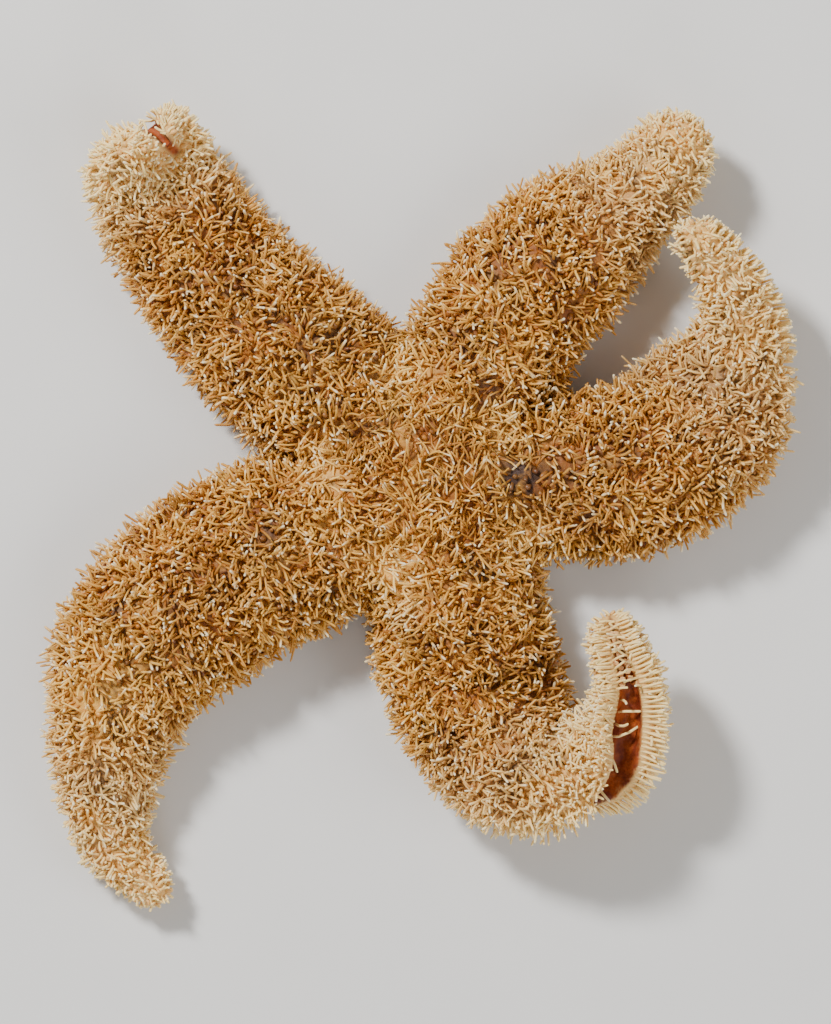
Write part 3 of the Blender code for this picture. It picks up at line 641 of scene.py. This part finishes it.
class Rods:
    """Gathers each rod's root, direction, bend, length, radius and (arm number, distance, angle)."""

    def __init__(self):
        self.rows = []
        self.stations = []

    def add(self, root, direction, bend, length, radius, place):
        self.rows.append((*root, *direction, *bend, length, radius))
        self.stations.append(place)


def unrolled(stations):
    """The roots' places on the skins of the arms, laid flat side by side: along each arm and round it."""
    numbers, distances, angles = stations.T
    present, strips = np.unique(numbers, return_inverse=True)
    along = distances / distances.max() * BAKE_STRIP
    flat = np.stack([(strips + along) / len(present), (angles + 180) / 360], axis=1)
    return np.clip(flat, 0, 1) * (1 - 2 * BAKE_EDGE) + BAKE_EDGE


def rod_points(rows, profile):
    """The vertices of bent, tapered rods, by rod, ring of the profile and side."""
    roots, directions, bends = rows[:, None, 0:3], rows[:, None, 3:6], rows[:, None, 6:9]
    lengths, radii = rows[:, 9, None], rows[:, 10, None]
    shares, widths = np.array(profile).T
    bent = np.clip(shares, 0, 1)
    middles = roots + directions * (lengths * shares)[..., None] + bends * (lengths * bent**2)[..., None]
    tangents = units(directions + bends * (2 * bent)[None, :, None])
    helper = units(np.cross(rows[:, 3:6], OBLIQUE))
    across = units(np.cross(tangents, helper[:, None]))
    upright = np.cross(across, tangents)
    turns = 2 * np.pi * np.arange(ROD_SIDES) / ROD_SIDES
    circle = across[:, :, None] * np.cos(turns)[None, None, :, None]
    circle = circle + upright[:, :, None] * np.sin(turns)[None, None, :, None]
    points = middles[:, :, None] + circle * (radii * widths)[..., None, None]
    points[..., 2] = np.maximum(points[..., 2], LOWEST)
    return points


def rod_faces(count, rings):
    """(vertex numbers of all corners, corners of each face) of that many closed rods."""
    ring, side = np.meshgrid(np.arange(rings - 1), np.arange(ROD_SIDES), indexing="ij")
    here, following = ring * ROD_SIDES, (side + 1) % ROD_SIDES
    above = here + ROD_SIDES
    quads = np.stack([here + side, here + following, above + following, above + side], axis=-1).ravel()
    caps = np.concatenate([np.arange(ROD_SIDES)[::-1], (rings - 1) * ROD_SIDES + np.arange(ROD_SIDES)])
    start = np.arange(count)[:, None] * rings * ROD_SIDES
    corners = (np.concatenate([quads, caps])[None] + start).ravel()
    totals = np.concatenate([np.full(len(quads) // 4, 4), np.full(2, ROD_SIDES)])
    return corners, np.tile(totals, count)


def smooth_mesh(name, points, corners, totals):
    mesh = bpy.data.meshes.new(name)
    mesh.vertices.add(points.size // 3)
    mesh.vertices.foreach_set("co", points.ravel())
    mesh.loops.add(len(corners))
    mesh.loops.foreach_set("vertex_index", corners)
    mesh.polygons.add(len(totals))
    mesh.polygons.foreach_set("loop_start", np.concatenate([[0], np.cumsum(totals)[:-1]]))
    mesh.polygons.foreach_set("use_smooth", np.ones(len(totals), bool))
    mesh.update(calc_edges=True)
    return mesh


def rod_mesh(name, rods, profile, arms):
    """All the gathered rods as one object of closed rods, with their colour marks, some painted shade and a
    painted highlight among them, and their bake map.
    """
    rows, stations = np.array(rods.rows), np.array(rods.stations)
    count, rings = len(rows), len(profile)
    per_rod = rings * ROD_SIDES
    corners, totals = rod_faces(count, rings)
    mesh = smooth_mesh(name, rod_points(rows, profile) * TO_METRES, corners, totals)

    shares = np.clip(np.array(profile)[:, 0], 0, 1)
    along = np.tile(np.repeat(shares, ROD_SIDES), count)
    mesh.attributes.new("along", "FLOAT", "POINT").data.foreach_set("value", along)
    varies = np.random.default_rng(SEED).random(count)
    tone = marks_and_painted_light(rows[:, 0:3], arms, stations[:, 0].astype(int), stations[:, 1], stations[:, 2], varies)
    tones = np.repeat(tone, per_rod, axis=0)
    mesh.attributes.new("tone", "FLOAT_COLOR", "POINT").data.foreach_set("color", tones.ravel())

    corner_round = (corners % ROD_SIDES) / ROD_SIDES
    patch = (np.stack([corner_round, along[corners]], axis=1) - 0.5) * SPINES_BAKE
    laid = unrolled(stations)[corners // per_rod] + patch
    mesh.uv_layers.new(name="OFBake").uv.foreach_set("vector", laid.ravel())
    obj = bpy.data.objects.new(name, mesh)
    bpy.context.scene.collection.objects.link(obj)
    return obj


def spread_over(mesh, count, chance):
    """Points spread evenly at random over a mesh."""
    mesh.calc_loop_triangles()
    places = read_points(mesh)
    corners = np.empty(len(mesh.loop_triangles) * 3, int)
    mesh.loop_triangles.foreach_get("vertices", corners)
    corners = places[corners.reshape(-1, 3)]
    first, second = corners[:, 1] - corners[:, 0], corners[:, 2] - corners[:, 0]
    areas = np.linalg.norm(np.cross(first, second), axis=1)
    chosen = chance.choice(len(areas), count, p=areas / areas.sum())
    a, b = chance.random(count), chance.random(count)
    over = a + b > 1
    a[over], b[over] = 1 - a[over], 1 - b[over]
    return corners[chosen, 0] + first[chosen] * a[:, None] + second[chosen] * b[:, None]


def kept_apart(points, spacing):
    """The numbers of the points that keep the spacing from all those kept before them."""
    cells, kept = {}, []
    steps = [(dx, dy, dz) for dx in (-1, 0, 1) for dy in (-1, 0, 1) for dz in (-1, 0, 1)]
    for i, point in enumerate(points):
        x, y, z = (point // spacing).astype(int)
        near = [k for dx, dy, dz in steps for k in cells.get((x + dx, y + dy, z + dz), ())]
        if all(np.linalg.norm(point - points[k]) >= spacing for k in near):
            kept.append(i)
            cells.setdefault((x, y, z), []).append(i)
    return np.array(kept)


def slimmer(arm, s):
    """The share of its length that a spine has at that distance along the arm."""
    share = SHORTEST + (1 - SHORTEST) * min(1.0, arm.size(min(s, arm.length))[0] / FULL_WIDTH)
    into_tip = min(1.0, max(0.0, s - (arm.length - TIP_ZONE)) / TIP_ZONE)
    return share * (1 + (TIP_SHARE - 1) * into_tip)


def gapes(arm, s):
    start, end = OPEN_GROOVES.get(arm.name, (arm.length, arm.length))
    return start < s < end


def drift(point):
    """A direction that changes slowly over the skin, which neighbouring tufts share."""
    return np.array(noise.noise_vector(Vector(point) / DRIFT_SIZE))


def bare_share(points):
    """The share of the tufts that are left out at each point."""
    dark = DARK_SPARSE * patch_field(points, DARK_AND_SHADE_PATCHES)
    cream = CREAM_SPARSE * patch_field(points, CREAM_SPOTS)
    return np.maximum(np.maximum(patch_field(points, SPARSE_PATCHES), dark), cream)


class Grower:
    """Sets the spines, the sacs and the tube feet on the skin."""

    def __init__(self, skin, arms):
        shape = bmesh.new()
        shape.from_mesh(skin.data)
        self.tree = BVHTree.FromBMesh(shape)
        shape.free()
        self.mesh = skin.data
        self.arms = arms
        self.where = Whereabouts(arms)
        self.chance = np.random.default_rng(SEED)
        noise.seed_set(SEED)  # for drift's noise, which otherwise differs from run to run
        self.disc, self.sacs = Rods(), Rods()
        self.backs, self.edges, self.feet = ([Rods() for _ in arms] for _ in range(3))

    def on_skin(self, point):
        """(nearest point of the skin, its normal, distance to it)."""
        place, normal, _, away = self.tree.find_nearest(Vector(point))
        return np.array(place), np.array(normal), away

    def stray(self, amount):
        return (self.chance.random(3) * 2 - 1) * amount

    def varied(self, value, share=VARIED):
        return value * (1 + (self.chance.random() * 2 - 1) * share)

    def tip_clear(self, root, direction, length, radius):
        """The direction, bent up where the tip would go under the floor."""
        lowest = LOWEST + radius
        if root[2] + direction[2] * length >= lowest:
            return direction
        return unit(np.array([direction[0], direction[1], (lowest - root[2]) / length]))

    def grow(self, rods, root, direction, length, radius, place, curl):
        """Adds one spine, unless its root is at the notch."""
        if by_notch([root])[0] < NOTCH_BARE:
            return
        direction = self.tip_clear(root, unit(direction), length, radius)
        bend = self.stray(curl)
        bend -= direction * (bend @ direction)
        if root[2] + (direction[2] + bend[2]) * length < LOWEST + radius:
            bend[2] = abs(bend[2])
        rods.add(root, direction, bend, length, radius, place)

    def back(self):
        """Tufts of spines all over the back, leaning outwards and with their neighbours."""
        points = spread_over(self.mesh, TUFT_CANDIDATES, self.chance)
        numbers, distances, angles, tangents, sides, inside = self.where.find(points)
        reach = np.full(len(points), BACK_TO)
        for name, (start, back_to) in TURNED_BACKS.items():
            reach[(numbers == number_of(name)) & (distances > start)] = back_to
        gaping = np.array([gapes(self.arms[n], s) for n, s in zip(numbers, distances)])
        in_groove = (inside > 0) & gaping & (numbers == number_of("arm_3"))
        wanted = (np.abs(angles) < reach) & (by_notch(points) > NOTCH_BARE) & ~in_groove
        found = (points, numbers, distances, angles, tangents, sides)
        points, numbers, distances, angles, tangents, sides = (rows[wanted] for rows in found)
        bare = bare_share(points)
        flat, matted = patch_field(points, FLAT_PATCHES), patch_field(points, MATTED_PATCHES)
        for i in kept_apart(points, TUFT_SPACING):
            if self.chance.random() < bare[i]:
                continue
            outward = sides[i] * math.sin(math.radians(angles[i])) * LEAN_OUT
            lean = outward + tangents[i] * LEAN_TIP + drift(points[i]) * LEAN_DRIFT
            length = BACK_LENGTH * slimmer(self.arms[numbers[i]], distances[i])
            length *= (1 + LYING_LONGER * flat[i]) * (1 - MATTED_SHORTER * matted[i])
            self.tuft(points[i], (numbers[i], distances[i], angles[i]), lean, length, flat[i])

    def tuft(self, middle, place, lean, length, flat):
        """A ring of spines round a place on the skin, given as (arm number, distance, angle)."""
        rods = self.disc if place[1] < DISC_PIECE else self.backs[place[0]]
        _, normal, _ = self.on_skin(middle)
        first = unit(np.cross(normal, OBLIQUE_ACROSS))
        second = np.cross(normal, first)
        turn = self.chance.random() * 2 * math.pi
        size = self.chance.choice(TUFT_SIZES)
        for k in range(size):
            spoke = turn + 2 * math.pi * k / size
            out = first * math.cos(spoke) + second * math.sin(spoke)
            root, normal_here, _ = self.on_skin(middle + out * self.varied(*TUFT_RADIUS))
            up = normal_here * STANDING * (1 - LYING * flat)
            direction = unit(up + lean + out * SPREAD_IN_TUFT + self.stray(LEAN_STRAY))
            least = LEAST_STANDING * (1 - LYING * flat)
            direction += normal_here * max(0.0, least - direction @ normal_here)
            radius = self.varied(BACK_RADIUS * (1 - LYING_THINNER * flat), RADIUS_VARIED)
            self.grow(rods, root, direction, self.varied(length, LENGTH_VARIED), radius, place, CURL)

    def papulae(self):
        """Soft, short sacs all over the back."""
        points = spread_over(self.mesh, SAC_CANDIDATES, self.chance)
        numbers, distances, angles, _, _, inside = self.where.find(points)
        clear = by_notch(points) > NOTCH_BARE + SAC_RADIUS[0]
        wanted = (np.abs(angles) < BACK_TO) & (inside == 0) & clear
        points, numbers, distances, angles = (rows[wanted] for rows in (points, numbers, distances, angles))
        for i in kept_apart(points, SAC_SPACING):
            root, normal, _ = self.on_skin(points[i])
            direction = unit(normal + self.stray(SAC_STRAY))
            length, radius = self.varied(*SAC_LENGTH), self.varied(*SAC_RADIUS)
            direction = self.tip_clear(root, direction, length, radius)
            place = (numbers[i], distances[i], angles[i])
            self.sacs.add(root, direction, self.stray(SAC_CURL), length, radius, place)

    def along(self, arm, angle, pitch, run):
        """(distance, side, root, skin's normal) at every pitch along both sides, where skin is near."""
        start, short, nearest = run
        for sign in (-1, 1):
            for s in np.arange(start, arm.length - short, pitch):
                root, normal, away = self.on_skin(arm.surface(s, sign * angle))
                if away <= nearest:
                    yield s, sign, root, normal

    def rows(self, number):
        """The groups of longer spines along both sides of an arm."""
        arm = self.arms[number]
        for angle, pitch, abreast, length, radius, down in SIDE_ROWS:
            for s, sign, root, normal in self.along(arm, angle, pitch, ROWS_RUN):
                _, tangent, side, up = arm.frame(s)
                outward = side * sign - up * down + tangent * ROWS_LEAN_TIP + self.stray(ROWS_STRAY)
                for k in range(abreast):
                    offset = (k - (abreast - 1) / 2) * ROWS_APART
                    place, _, _ = self.on_skin(root - up * offset + tangent * self.stray(ROWS_SHIFT)[0])
                    fan = normal * ROWS_STANDING - up * offset * ROWS_FAN
                    direction = outward + fan + self.stray(ROWS_FAN_STRAY)
                    reach = self.varied(length) * slimmer(arm, s)
                    station = (number, s, sign * angle)
                    self.grow(self.edges[number], place, direction, reach, radius, station, ROWS_CURL)

    def combs(self, number):
        """The close combs beside the groove."""
        arm = self.arms[number]
        down, along, curl = COMB_LEAN
        for angle, pitch, length, radius in COMB_ROWS:
            for s, sign, root, _ in self.along(arm, angle, pitch, COMBS_RUN):
                _, tangent, side, up = arm.frame(s)
                stray = UNTIDY_STRAY if (arm.name, sign) == UNTIDY_COMB else COMB_STRAY
                direction = side * sign - up * down + tangent * along + self.stray(stray)
                reach = self.varied(length, COMB_VARIED) * slimmer(arm, s) * COMB_SHARES.get(arm.name, 1.0)
                station = (number, s, sign * angle)
                self.grow(self.edges[number], root, direction, reach, radius, station, curl)

    def guards(self, number):
        """The short spines that lean over the groove."""
        arm = self.arms[number]
        angle, pitch, length, radius = GUARD_ROW
        down, inwards, along, stray, curl = GUARD_LEAN
        for s, sign, root, _ in self.along(arm, angle, pitch, COMBS_RUN):
            if gapes(arm, s):
                continue
            _, tangent, side, up = arm.frame(s)
            direction = -up * down - side * sign * inwards + tangent * along + self.stray(stray)
            reach = self.varied(length, GUARD_VARIED) * COMB_SHARES.get(arm.name, 1.0)
            station = (number, s, sign * angle)
            self.grow(self.edges[number], root, direction, reach, radius, station, curl)

    def crossing(self, number):
        """Long, pale, curved spines that lie across the open groove from its ruffled side."""
        arm = self.arms[number]
        start, end, pitch, length, radius = CROSSING
        down, inwards, stray, varied, curl = CROSSING_LEAN
        sign = UNTIDY_COMB[1]
        for s in np.arange(start, end, pitch):
            root, _, _ = self.on_skin(arm.surface(s, sign * WALL_ANGLE))
            _, tangent, side, up = arm.frame(s)
            direction = -up * down - side * sign * inwards + tangent * self.stray(stray)[0]
            place = (number, s, sign * WALL_ANGLE)
            self.grow(self.edges[number], root, direction, self.varied(length, varied), radius, place, curl)

    def suckers(self, number):
        """The rows of tube feet in the groove."""
        arm = self.arms[number]
        start, short, nearest = FEET_RUN
        for s in np.arange(start, arm.length - short, FOOT_PITCH):
            if gapes(arm, s):
                continue
            for row, angle in enumerate(FOOT_ANGLES):
                for sign in (-1, 1):
                    self.sucker(number, s + row * FOOT_PITCH / 2, sign, angle, nearest)

    def sucker(self, number, s, sign, angle, nearest):
        """One tube foot, unless the skin is buried there."""
        arm = self.arms[number]
        within = min(s, arm.length)
        root, _, away = self.on_skin(arm.surface(within, sign * angle))
        if away > nearest:
            return
        _, _, depth = groove_sizes(*arm.size(within))
        _, _, side, up = arm.frame(s)
        outwards, stray, least, more, curl = FOOT_LEAN
        direction = unit(-up + side * sign * outwards + self.stray(stray))
        length = depth * (least + more * self.chance.random())
        direction = self.tip_clear(root, direction, length, FOOT_RADIUS)
        bend = self.stray(curl)
        bend[2] = 0
        self.feet[number].add(root, direction, bend, length, FOOT_RADIUS, (number, s, sign * angle))


def mixed(tree, factor, first, second):
    """A Mix node's colour. Each input is a socket or a value."""
    node = tree.nodes.new("ShaderNodeMix")
    node.data_type = "RGBA"
    for name, value in (("Factor_Float", factor), ("A_Color", first), ("B_Color", second)):
        socket = next(s for s in node.inputs if s.identifier == name)
        connect(tree, value, socket)
    return next(s for s in node.outputs if s.identifier == "Result_Color")


def connect(tree, value, socket):
    if isinstance(value, bpy.types.NodeSocket):
        tree.links.new(value, socket)
    else:
        socket.default_value = value


def calculated(tree, operation, first, second=0.0):
    node = tree.nodes.new("ShaderNodeMath")
    node.operation = operation
    node.use_clamp = True
    connect(tree, first, node.inputs[0])
    connect(tree, second, node.inputs[1])
    return node.outputs[0]


def stepped(tree, value, low, high):
    """0 below low, 1 above high, smooth between."""
    node = tree.nodes.new("ShaderNodeMapRange")
    node.interpolation_type = "SMOOTHSTEP"
    connect(tree, value, node.inputs["Value"])
    node.inputs["From Min"].default_value = low
    node.inputs["From Max"].default_value = high
    return node.outputs["Result"]


def grain(tree, size, detail=4.0, rough=0.55):
    """A noise over the object whose lumps are about that many millimetres across."""
    place = tree.nodes.new("ShaderNodeTexCoord")
    node = tree.nodes.new("ShaderNodeTexNoise")
    node.inputs["Scale"].default_value = 1 / (size * TO_METRES)
    node.inputs["Detail"].default_value = detail
    node.inputs["Roughness"].default_value = rough
    tree.links.new(place.outputs["Object"], node.inputs["Vector"])
    return node.outputs["Fac"]


def attribute(tree, name):
    node = tree.nodes.new("ShaderNodeAttribute")
    node.attribute_name = name
    return node


def tones(tree):
    """The sockets pale, dark, yellow and varying of the colour marks, whose dark and yellow hold some
    painted shade and a painted highlight.
    """
    node = attribute(tree, "tone")
    split = tree.nodes.new("ShaderNodeSeparateColor")
    tree.links.new(node.outputs["Color"], split.inputs["Color"])
    return split.outputs["Red"], split.outputs["Green"], split.outputs["Blue"], node.outputs["Alpha"]


def new_material(name):
    made = bpy.data.materials.new(name)
    made.use_nodes = True
    tree = made.node_tree
    return made, tree, tree.nodes["Principled BSDF"]


def bump(tree, height, distance, strength=1.0):
    node = tree.nodes.new("ShaderNodeBump")
    node.inputs["Distance"].default_value = distance * TO_METRES
    node.inputs["Strength"].default_value = strength
    tree.links.new(height, node.inputs["Height"])
    return node.outputs["Normal"]


def coloured(tree, shader, colour, roughness, weight, radius, scale):
    """The colour, the roughness, and light let in by a share and down to about that many millimetres."""
    tree.links.new(colour, shader.inputs["Base Color"])
    connect(tree, roughness, shader.inputs["Roughness"])
    shader.inputs["Subsurface Weight"].default_value = weight
    shader.inputs["Subsurface Radius"].default_value = radius
    shader.inputs["Subsurface Scale"].default_value = scale * TO_METRES


def tinted(tree, factor, share, colour, tint):
    """The colour, turned to the tint by that share of the factor."""
    return mixed(tree, calculated(tree, "MULTIPLY", factor, share), colour, tint)


def skin_material():
    made, tree, shader = new_material("starfish_skin")
    pale, dark, yellow, _ = tones(tree)
    broad, fine = grain(tree, 1.1), grain(tree, 0.35)
    colour = mixed(tree, stepped(tree, broad, 0.35, 0.65), SKIN_BROWN, SKIN_OCHRE)
    colour = mixed(tree, stepped(tree, fine, 0.5, 0.7), colour, SKIN_GRAIN)
    colour = tinted(tree, pale, 0.8, colour, SKIN_PALE)
    # Yellow tint, and on the bend of arm_4 a painted highlight
    colour = tinted(tree, yellow, 0.85, colour, SKIN_YELLOW)
    # Dark patches: the skin's own darker colour, and painted shade along the fold of arm_3 and at a hole at
    # arm_5's tip
    stain_and_shade = calculated(tree, "MULTIPLY", dark, stepped(tree, broad, 0.36, 0.56))
    colour = mixed(tree, stain_and_shade, colour, SKIN_STAIN_AND_SHADE)
    inside = mixed(tree, stepped(tree, broad, 0.4, 0.6), GROOVE_DARK, GROOVE_RED)
    colour = mixed(tree, attribute(tree, "groove").outputs["Fac"], colour, inside)
    rough = tree.nodes.new("ShaderNodeMapRange")
    tree.links.new(fine, rough.inputs["Value"])
    rough.inputs["To Min"].default_value = 0.45
    rough.inputs["To Max"].default_value = 0.7
    coloured(tree, shader, colour, rough.outputs["Result"], 0.12, (1.0, 0.4, 0.1), 0.4)
    tree.links.new(bump(tree, fine, 0.12), shader.inputs["Normal"])
    shader.inputs["Specular IOR Level"].default_value = 0.3
    return made


def spine_material():
    made, tree, shader = new_material("starfish_spines")
    pale, dark, yellow, varying = tones(tree)
    along = attribute(tree, "along").outputs["Fac"]
    shaft = mixed(tree, varying, SHAFT_BROWN, SHAFT_OCHRE)
    # Darker in the dark patches, which include painted shade in a fold and a hole
    shaft = tinted(tree, dark, 0.62, shaft, SHAFT_DARK)
    shaft = mixed(tree, pale, shaft, SHAFT_PALE)
    # Yellower in the yellow patches, which include a painted highlight on the bend of arm_4
    shaft = tinted(tree, yellow, 0.8, shaft, SHAFT_YELLOW)
    foot = mixed(tree, stepped(tree, along, 0.0, 0.6), SHAFT_FOOT, shaft)
    foot = tinted(tree, pale, 0.85, foot, shaft)
    light = mixed(tree, stepped(tree, varying, 0.45, 0.95), shaft, SHAFT_TIP)
    colour = mixed(tree, stepped(tree, along, 0.7, 1.0), foot, light)
    coloured(tree, shader, colour, 0.48, 0.12, (1.0, 0.55, 0.2), 0.25)
    shader.inputs["Specular IOR Level"].default_value = 0.35
    tree.links.new(bump(tree, grain(tree, 0.12), 0.015), shader.inputs["Normal"])
    return made


def sac_material():
    made, tree, shader = new_material("starfish_sacs")
    pale, dark, yellow, varying = tones(tree)
    colour = mixed(tree, varying, SAC_BROWN, SAC_OCHRE)
    colour = tinted(tree, pale, 0.75, colour, SAC_PALE)
    # The yellow patches include a painted highlight on the bend of arm_4, and the dark ones painted shade
    # in a fold and a hole
    colour = tinted(tree, yellow, 0.6, colour, SAC_YELLOW)
    colour = tinted(tree, dark, 0.75, colour, SAC_DARK)
    coloured(tree, shader, colour, 0.38, 0.2, (1.0, 0.4, 0.1), 0.3)
    return made


def foot_material():
    made, tree, shader = new_material("starfish_tube_feet")
    along = attribute(tree, "along").outputs["Fac"]
    colour = mixed(tree, stepped(tree, along, 0.3, 0.95), FOOT_BROWN, FOOT_PALE)
    colour = mixed(tree, stepped(tree, grain(tree, 0.3), 0.45, 0.7), colour, FOOT_RED)
    coloured(tree, shader, colour, 0.3, 0.3, (1.0, 0.4, 0.15), 0.3)
    return made


def finish_skin(skin, grower):
    """Gives the skin its colour marks, with some painted shade and a painted highlight, and its size in
    metres.
    """
    mesh = skin.data
    places = read_points(mesh)
    numbers, distances, angles, _, _, groove = grower.where.find(places)
    varies = np.full(len(places), SKIN_VARYING)
    tone = marks_and_painted_light(places, grower.arms, numbers, distances, angles, varies)
    mesh.attributes.new("tone", "FLOAT_COLOR", "POINT").data.foreach_set("color", tone.ravel())
    groove[(numbers == number_of("arm_5")) & (distances > OPEN_GROOVES["arm_5"][0])] = 0
    groove = np.maximum(groove, np.clip(1 - by_notch(places) / NOTCH_COLOURED, 0, 1))
    mesh.attributes.new("groove", "FLOAT", "POINT").data.foreach_set("value", groove)
    mesh.transform(Matrix.Scale(TO_METRES, 4))
    mesh.shade_smooth()
    mesh.materials.clear()
    mesh.materials.append(skin_material())


def grow_all(grower):
    """All that stands on the skin, in the order in which the random numbers are drawn."""
    for number in range(len(grower.arms)):
        for kind in (grower.rows, grower.combs, grower.guards, grower.suckers):
            kind(number)
    grower.crossing(number_of("arm_3"))
    grower.back()
    grower.papulae()


def dress(frame):
    arms = [Arm(name) for name in ARM_STATIONS]
    skin = make_skin(arms)
    grower = Grower(skin, arms)
    grow_all(grower)
    finish_skin(skin, grower)
    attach(skin, "root")
    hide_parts(*frame["nodes"])
    spines, feet = spine_material(), foot_material()
    coat = [
        ("spines_disc", grower.disc, SPINE_PROFILE, spines, "skin_cream"),
        ("papulae", grower.sacs, SAC_PROFILE, sac_material(), "skin_tan"),
    ]
    for number, arm in enumerate(arms):
        coat.append((f"spines_{arm.name}", grower.backs[number], SPINE_PROFILE, spines, "skin_cream"))
        coat.append((f"combs_{arm.name}", grower.edges[number], SPINE_PROFILE, spines, "skin_cream"))
        coat.append((f"tube_feet_{arm.name}", grower.feet[number], FOOT_PROFILE, feet, "skin_tan"))
    for name, rods, profile, material, slot in coat:
        piece = rod_mesh(name, rods, profile, arms)
        piece.data.materials.append(material)
        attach(piece, "root")


def floor():
    made, tree, shader = new_material("floor")
    tone = mixed(tree, grain(tree, FLOOR_GRAIN), FLOOR_DARK, FLOOR_LIGHT)
    tree.links.new(tone, shader.inputs["Base Color"])
    shader.inputs["Roughness"].default_value = 0.9
    shape = bmesh.new()
    bmesh.ops.create_grid(shape, x_segments=1, y_segments=1, size=FLOOR_HALF)
    plane = as_object("floor", shape)
    plane.data.materials.append(made)


def area_light(name, place, size, power):
    light = bpy.data.lights.new(name, "AREA")
    light.shape = "DISK"
    light.size = size
    light.energy = power
    lamp = bpy.data.objects.new(name, light)
    lamp.location = place
    lamp.rotation_euler = (-Vector(place)).to_track_quat("-Z", "Y").to_euler()
    bpy.context.scene.collection.objects.link(lamp)


def light():
    for lamp in LAMPS:
        area_light(*lamp)
    world = bpy.data.worlds.new("studio")
    world.use_nodes = True
    background = world.node_tree.nodes["Background"]
    background.inputs["Color"].default_value = WORLD_COLOUR
    background.inputs["Strength"].default_value = WORLD_STRENGTH
    bpy.context.scene.world = world


def camera():
    data = bpy.data.cameras.new("camera")
    data.sensor_width = SENSOR
    data.lens = SENSOR * CAMERA_HEIGHT / VIEW_HEIGHT
    data.clip_start = 0.01
    eye = bpy.data.objects.new("camera", data)
    eye.location = (CAMERA_AT[0] * TO_METRES, CAMERA_AT[1] * TO_METRES, CAMERA_HEIGHT * TO_METRES)
    bpy.context.scene.collection.objects.link(eye)
    bpy.context.scene.camera = eye


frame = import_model()
camera()
dress(frame)
floor()
light()
